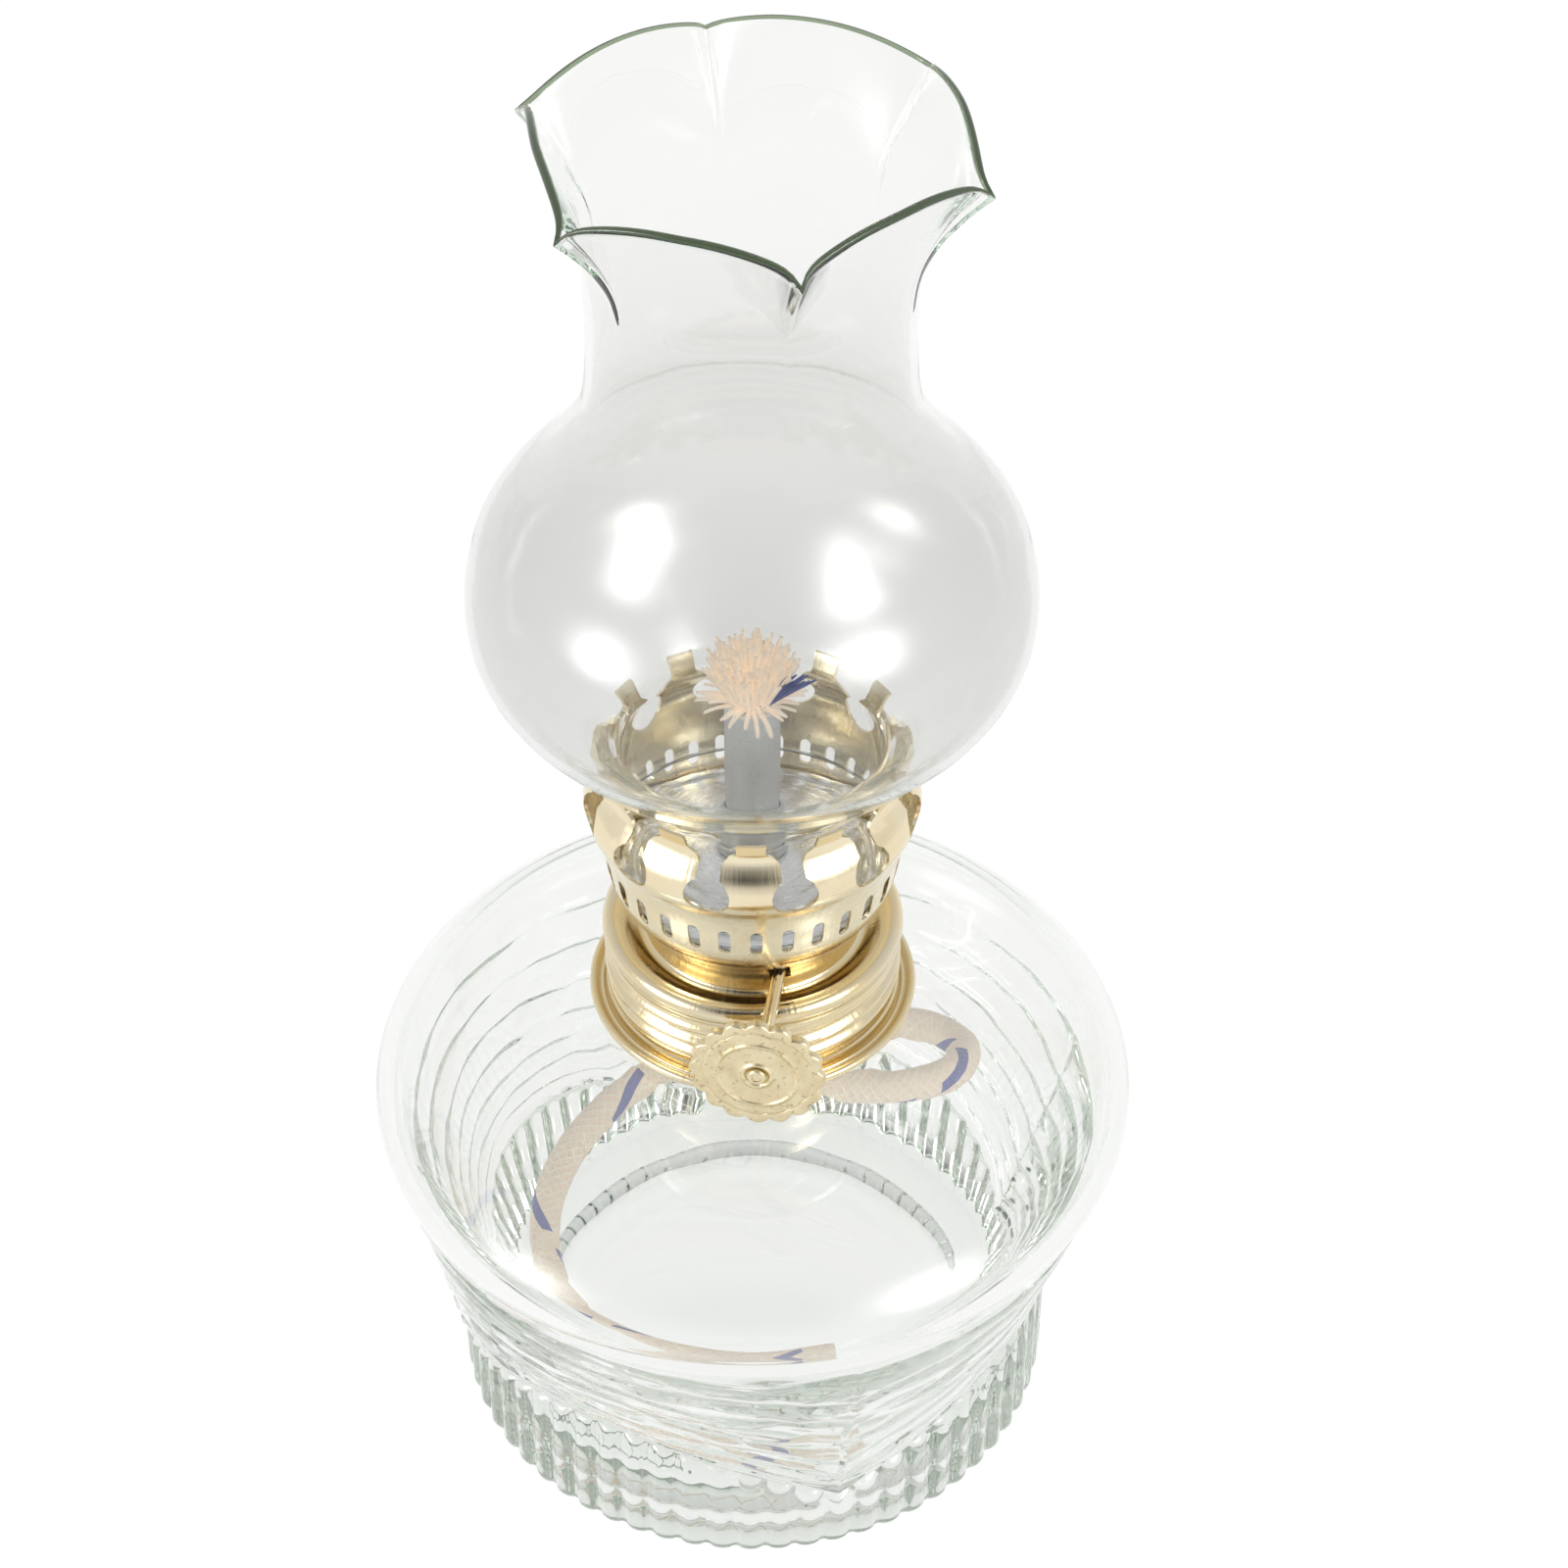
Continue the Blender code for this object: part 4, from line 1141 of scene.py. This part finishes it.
@dataclass
class BurnerInside:
    """The steel deck, the wick tube and its collar, and the small plates."""

    def build(self, palette: Palette) -> None:
        """Makes the turned pieces and dresses the CAD nodes that stay."""
        self._turned("turned_deck", self._deck(), 144, palette.steel, "deck_plate", Slot.STEEL)
        bead = [(4.6, 100.8), (4.7, 101.4), (4.6, 102.6), (4.35, 103.2), (4.1, 103.3)]
        collar = smooth_run([(4.1, 103.3), (4.1, 100.7)], 3) + smooth_run(bead, 0.2)
        self._turned("tube_collar_ring", collar[:-1], 96, palette.zinc, "tube_collar", Slot.ZINC)
        tube = [(3.2, 124.7), (3.2, 64.2)] + smooth_run([(3.3, 64), (3.7, 64), (3.8, 64.2)], 0.1)
        tube += [(3.8, z) for z in np.linspace(66, 124.6, 24)]
        tube += smooth_run([(3.78, 124.8), (3.6, 125), (3.4, 125), (3.2, 124.7)], 0.1)[:-1]
        self._turned("wick_tube_zinc", tube, 96, palette.zinc, "wick_tube", Slot.ZINC, self._seam)
        dress("base_plate", palette.steel)
        dress("raiser_bracket", palette.steel)
        dress("seal_washer", palette.rubber)
        log.info("burner inside: deck, collar and tube made, small plates dressed")

    @staticmethod
    def _deck() -> list[Point]:
        """The deck's outline, pressed in concentric rings."""
        top = [
            (18.4, 96.75), (17.6, 97.15), (16.6, 97.35), (15.9, 97.2), (15.3, 97.5), (14.0, 97.85), (13.4, 98.1),
            (13.05, 98.8), (12.3, 99.1), (11.4, 99.2), (10.9, 99.5), (9.4, 99.85), (7, 100.3), (5.4, 100.5),
            (4.1, 100.5),
        ]
        under = [(4.1, 99.9), (7, 99.7), (12.4, 98.4), (13.0, 97.5), (16.4, 96.8), (18.4, 96.2)]
        return under + smooth_run(top, 0.25)

    @staticmethod
    def _seam(radius: np.ndarray, height: np.ndarray, bearing: np.ndarray) -> tuple[np.ndarray, np.ndarray]:
        """A shallow butt seam up the tube, right of the middle."""
        off = np.abs(((bearing - math.radians(24) + math.pi) % TAU) - math.pi)
        outside = radius > 3.5
        return radius - np.where(outside, np.clip(1 - off / 0.07, 0, 1) * 0.12, 0), height

    @staticmethod
    def _turned(
        name: str, outline: Sequence[Point], sides: int, material: bpy.types.Material, node: str, slot: Slot,
        place: Place | None = None,
    ) -> bpy.types.Object:
        """A turned piece of the burner that stands in for a CAD node."""
        piece = lathe(name, outline, sides, material, place)
        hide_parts(node)
        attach(piece, "burner")
        return piece


def dress(node: str, material: bpy.types.Material) -> None:
    """Gives a CAD node a better material."""
    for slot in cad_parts[node].material_slots:
        slot.material = material


# ---------------------------------------------------------------- wick raiser
@dataclass
class WickRaiser:
    """Shaft, knob, hub, rivet and the toothed wheels, all on the level shaft."""

    reach: float = 33.7
    lobes: int = 16
    scallop: float = 0.85

    @staticmethod
    def _on_shaft() -> Matrix:
        """Takes a piece turned about Z to the shaft, with its top towards the knob's side."""
        place = Matrix.Rotation(SHAFT_BEARING, 4, "Z") @ Matrix.Translation((SHAFT_OFFSET * MM, 0, SHAFT_HEIGHT * MM))
        return place @ Matrix.Rotation(TAU / 4, 4, "X")

    def _piece(
        self, name: str, outline: Sequence[Point], sides: int, material: bpy.types.Material, node: str,
        place: Place | None = None,
    ) -> None:
        """A piece turned about the shaft, from (radius, distance towards the knob's side)."""
        mesh = lathe_mesh(name, outline, sides, place)
        mesh.transform(self._on_shaft())
        piece = mesh_object(name, mesh, material)
        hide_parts(node)
        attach(piece, "raiser")

    def _scallop(self, radius: np.ndarray, height: np.ndarray, bearing: np.ndarray) -> tuple[np.ndarray, np.ndarray]:
        """Scallops the knob's edge and dies out towards its middle."""
        share = np.clip((radius - 6.9) / 2.2, 0, 1)
        return radius + share * self.scallop * (np.abs(np.cos(bearing * self.lobes / 2)) - 1), height

    def build(self, palette: Palette) -> None:
        """Makes the raiser's turned pieces and dresses its toothed wheels."""
        k = self.reach
        shaft = [(0, -5.4), (0.75, -5.4), (0.9, -5.2)] + [(0.9, x) for x in np.linspace(-4, k - 1.1, 12)]
        shaft += [(0.78, k - 0.9), (0.55, k - 0.9), (0.55, k + 0.74), (0, k + 0.74)]
        self._piece("raiser_shaft_rod", shaft, 32, palette.cap, "raiser_shaft")
        edge = [(9.15, k - 0.05), (8.95, k + 0.12), (7.75, k + 0.14), (7.5, k + 0.02), (7.25, k + 0.14)]
        edge += [(6.1, k + 0.14)]
        ring = [(5.8, k + 0.2), (5.45, k + 0.44), (5.1, k + 0.2), (4.8, k + 0.12)]
        eye = [(2.6, k + 0.14), (2.3, k + 0.24), (1.95, k + 0.5), (1.62, k + 0.3), (1.45, k + 0.1), (0.95, k + 0.1)]
        eye += [(0.85, k + 0.08)]
        face = smooth_run(edge + ring + eye, 0.12)
        back = [(0.85, k - 0.5), (1.0, k - 0.55), (4, k - 0.55), (8.0, k - 0.6), (8.35, k - 1.15), (8.75, k - 1.3)]
        back += [(9.1, k - 1.1), (9.2, k - 0.25)]
        self._piece("knob_plate", back + face, 192, palette.knob, "knob_disc", self._scallop)
        hub = [(1.85, k - 3.2), (2.0, k - 3.0), (2.0, k - 1.5), (1.85, k - 1.3), (1.2, k - 1.3)]
        hub = smooth_run([(1.2, k - 1.3), (1.2, k - 3.2)], 4) + smooth_run(hub, 0.25)
        self._piece("knob_collar", hub[:-1], 48, palette.cap, "knob_hub")
        rivet = [(1.15, k + 0.2), (1.28, k + 0.35), (1.22, k + 0.62), (1.0, k + 0.8), (0.6, k + 0.84)]
        rivet = [(0.6, k + 0.2)] + smooth_run(rivet, 0.08)
        self._piece("knob_rivet_head", rivet, 48, palette.knob, "knob_rivet")
        dress("raiser_wheel_front", palette.steel)
        dress("raiser_wheel_back", palette.steel)
        log.info("wick raiser: shaft, knob, collar and rivet made, toothed wheels dressed")


# ---------------------------------------------------------------- wick
@dataclass(frozen=True)
class Bunch:
    """How a bunch of loose threads stands: how many, how far they lean and stray, and to which side."""

    count: int
    lean: float
    disc: float
    scatter: float
    seed: int
    sideways: float = 0.0


@dataclass
class Wick:
    """Cotton wick: its braid in the tube, the tail in the font and the frayed head."""

    tail_radius: float = 2.5
    core_radius: float = 2.8
    tail_length: float = 0.2182
    upright: Bunch = Bunch(count=270, lean=0.37, disc=2.9, scatter=0.15, seed=4)
    drooping: Bunch = Bunch(count=46, lean=2.0, disc=3.0, scatter=0.7, seed=7)
    tracer: Bunch = Bunch(count=15, lean=0.10, disc=0.55, scatter=0.09, seed=9, sideways=1.1)
    route: list[tuple[float, float, float]] = field(
        default_factory=lambda: [
            (0, 0, 70), (0, 0, 64), (3.5, 0.5, 56.5), (12.5, 2, 50), (21.5, 4.5, 46.8), (29.3, 10, 44),
            (31.6, 20, 39.6), (25.5, 29.5, 34.8), (12.5, 34, 30), (-3, 35, 26), (-17, 31.5, 21), (-28, 21.5, 16.3),
            (-32.5, 8, 12.9), (-31, -7, 11.6), (-24, -20.5, 11.3), (-12.5, -29, 11.3), (1, -31.5, 11.3),
            (14, -29, 11.3),
        ]
    )

    @staticmethod
    def _smooth(route: Sequence[tuple[float, float, float]], step: float) -> list[Vector]:
        """Points about a step apart along a smooth curve through a route, all in metres."""
        stops = [Vector(point) * MM for point in route]
        fine: list[Vector] = []
        for i in range(len(stops) - 1):
            before, after = stops[max(i - 1, 0)], stops[min(i + 2, len(stops) - 1)]
            a, b = stops[i], stops[i + 1]
            slope_a, slope_b = (b - before) / 2, (after - a) / 2
            for k in range(16):
                t = k / 16
                point = a * (2 * t**3 - 3 * t**2 + 1) + slope_a * (t**3 - 2 * t**2 + t)
                fine.append(point + b * (3 * t**2 - 2 * t**3) + slope_b * (t**3 - t**2))
        fine.append(stops[-1])
        travelled = np.concatenate([[0], np.cumsum([(b - a).length for a, b in zip(fine, fine[1:])])])
        count = max(round(travelled[-1] / step), 2)
        wanted = np.linspace(0, travelled[-1], count + 1)
        table = np.array([tuple(point) for point in fine])
        return [Vector([float(np.interp(s, travelled, table[:, axis])) for axis in range(3)]) for s in wanted]

    @staticmethod
    def _cord_mesh(name: str, path: Sequence[Vector], radius: float, sides: int = 20) -> bpy.types.Mesh:
        """A round cord along a path with a map that runs round and along it, and flat ends."""
        bm = bmesh.new()
        layer = bm.loops.layers.uv.new("cord")
        normal = Vector((1, 0, 0))
        rows, travelled = [], 0.0
        for i, point in enumerate(path):
            ahead = (path[min(i + 1, len(path) - 1)] - path[max(i - 1, 0)]).normalized()
            normal = (normal - ahead * normal.dot(ahead)).normalized()
            side = ahead.cross(normal)
            travelled += (point - path[i - 1]).length if i else 0.0
            row = []
            for k in range(sides):
                turn = TAU * k / sides
                row.append(bm.verts.new(point + (normal * math.cos(turn) + side * math.sin(turn)) * radius))
            rows.append((row, travelled / (2 * radius)))
        for (low, v0), (high, v1) in zip(rows, rows[1:]):
            for k in range(sides):
                face = bm.faces.new((low[k], low[(k + 1) % sides], high[(k + 1) % sides], high[k]))
                for loop, (u, v) in zip(face.loops, ((k, v0), (k + 1, v0), (k + 1, v1), (k, v1))):
                    loop[layer].uv = (u / sides, v)
        for (row, v), flip in ((rows[0], True), (rows[-1], False)):
            cap = bm.faces.new(row[::-1] if flip else row)
            for loop in cap.loops:
                loop[layer].uv = (0.0, v)
        return mesh_of(name, bm)

    def build_tail(self, palette: Palette) -> bpy.types.Object:
        """The free tail in the font, made as a cord."""
        path = self._smooth(self.route, 2.0 * MM)
        mesh = self._cord_mesh("wick_tail_braid", path, self.tail_radius * MM)
        tail = mesh_object("wick_tail_braid", mesh, palette.braid)
        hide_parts("wick_tail")
        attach(tail, "font")
        log.info("wick_tail_braid: %d faces", len(tail.data.polygons))
        return tail

    @staticmethod
    def _strand(name: str, length: float, bend: float, thickness: float) -> bpy.types.Object:
        """One loose thread end, upright with a bend towards +X and a narrowed, flat tip."""
        bm = bmesh.new()
        rows, sides, steps = [], 5, 5
        for i in range(steps + 1):
            t = i / steps
            middle = Vector((bend * t * t, 0, length * t)) * MM
            width = thickness * (1.0 if i < steps else 0.75) * MM
            turns = (TAU * k / sides for k in range(sides))
            rows.append([bm.verts.new(middle + Vector((math.cos(a), math.sin(a), 0)) * width) for a in turns])
        for low, high in zip(rows, rows[1:]):
            for k in range(sides):
                bm.faces.new((low[k], low[(k + 1) % sides], high[(k + 1) % sides], high[k]))
        bm.faces.new(rows[0][::-1])
        bm.faces.new(rows[-1])
        made = linked(name, mesh_of(name, bm))
        made.hide_render = True
        return made

    @staticmethod
    def _brush(material: bpy.types.Material, strand: bpy.types.Object, bunch: Bunch) -> Rule:
        """Threads stood on a disc, leaning outwards more the further out they stand."""
        rule = Rule("frayed_threads")
        w = rule.w
        threads = rule.size("Threads", "Int", bunch.count)
        outward = rule.size("Lean", "Float", bunch.lean)
        radius = rule.size("Disc Radius", "Float", bunch.disc * MM)
        thread = rule.size("Thread", "Object", strand)
        dice = rule.size("Seed", "Int", bunch.seed)
        paint = rule.size("Material", "Material", material)
        line = w.add("GeometryNodeMeshLine", threads)
        line.inputs["Offset"].default_value = (0, 0, 0)
        index = w.add("GeometryNodeInputIndex").outputs[0]
        # Even sunflower spacing over the disc
        share = w.math("SQRT", w.math("DIVIDE", w.plus(index, 0.5), threads))
        angle = w.times(index, GOLDEN_ANGLE)
        jitter = w.add("FunctionNodeRandomValue", data_type="FLOAT_VECTOR")
        jitter.inputs[0].default_value = (-bunch.scatter, -bunch.scatter, -bunch.scatter / 3)
        jitter.inputs[1].default_value = (bunch.scatter, bunch.scatter, bunch.scatter / 3)
        w.put(jitter.inputs["Seed"], dice)
        east, north = w.math("COSINE", angle), w.math("SINE", angle)
        disc = w.times(share, radius)
        spot = w.add("ShaderNodeCombineXYZ", w.times(east, disc), w.times(north, disc), 0.0)
        points = w.add("GeometryNodeSetPosition", line.outputs[0])
        w.put(points.inputs["Position"], spot.outputs[0])
        tilt = w.times(w.math("POWER", share, 1.3), outward)
        side = w.plus(w.times(east, tilt), bunch.sideways)
        away = w.add("ShaderNodeCombineXYZ", side, w.times(north, tilt), 1.0)
        scattered = w.add("ShaderNodeVectorMath", away.outputs[0], jitter.outputs[0], operation="ADD")
        rotation = w.add("FunctionNodeAlignRotationToVector", axis="Z")
        w.put(rotation.inputs["Vector"], scattered.outputs[0])
        spin = w.add("ShaderNodeCombineXYZ", 0.0, 0.0, angle)
        spun = w.add("FunctionNodeEulerToRotation", spin.outputs[0]).outputs[0]
        turned = w.add("FunctionNodeRotateRotation", spun, rotation.outputs[0])
        size = w.add("FunctionNodeRandomValue", data_type="FLOAT")
        low, high = (socket for socket in size.inputs if socket.name in ("Min", "Max") and socket.enabled)
        low.default_value, high.default_value = 0.8, 1.08
        w.put(next(socket for socket in size.inputs if socket.name == "Seed"), dice)
        shape = w.add("GeometryNodeObjectInfo", thread)
        copies = w.add("GeometryNodeInstanceOnPoints", points.outputs[0])
        w.put(copies.inputs["Instance"], shape.outputs["Geometry"])
        w.put(copies.inputs["Rotation"], turned.outputs[0])
        w.put(copies.inputs["Scale"], size.outputs[1])
        rule.finish(copies.outputs[0], paint)
        return rule

    @staticmethod
    def _brushed(name: str, rule: Rule, place: tuple[float, float, float]) -> bpy.types.Object:
        """Runs a brush rule and puts the threads on the tube's mouth."""
        seed_mesh = bpy.data.meshes.new(name + "_seed")
        seed_mesh.from_pydata([(0, 0, 0)], [], [])
        piece = rule.apply(linked(name + "_seed", seed_mesh), name)
        piece.data.transform(Matrix.Translation(Vector(place) * MM))
        piece.data.shade_smooth()
        return piece

    def build_head(self, palette: Palette) -> None:
        """The braid in the tube, the frayed head and the blue tuft."""
        path = [Vector((0, 0, z * MM)) for z in np.linspace(70.3, 124.8, 40)]
        core = self._cord_mesh("wick_braid", path, self.core_radius * MM)
        braid = mesh_object("wick_braid", core, palette.braid)
        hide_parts("wick_core")
        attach(braid, "wick")
        thread = self._strand("loose_thread", 7.6, 0.5, 0.31)
        droop = self._strand("drooping_thread", 4.8, 2.0, 0.36)
        head = self._brushed("frayed_head", self._brush(palette.fray, thread, self.upright), (0, 0, 125.25))
        fringe = self._brushed("frayed_fringe", self._brush(palette.fray, droop, self.drooping), (0, 0, 125.2))
        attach(fringe, "wick")
        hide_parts("wick_fray")
        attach(head, "wick")
        blue = self._strand("blue_strand", 8.6, 0.5, 0.20)
        tuft = self._brushed("blue_tuft", self._brush(palette.blue, blue, self.tracer), (0.6, -2.5, 125.6))
        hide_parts("wick_tracer")
        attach(tuft, "wick")
        for helper in (thread, droop, blue):
            bpy.data.objects.remove(helper, do_unlink=True)
        log.info("wick head: %d thread faces, blue tuft %d faces", len(head.data.polygons), len(tuft.data.polygons))


def main() -> None:
    """Builds the lamp's looks, the camera and the cord first."""
    logging.basicConfig(level=logging.INFO, format="%(message)s")
    palette = Palette()
    Studio().build()
    wick = Wick()
    wick.build_tail(palette)
    PressedFont().build(palette)
    RuffledChimney().build(palette)
    Gallery().build(palette)
    ScrewCap().build(palette)
    BurnerInside().build(palette)
    WickRaiser().build(palette)
    wick.build_head(palette)


if __name__ == "__main__":
    main()
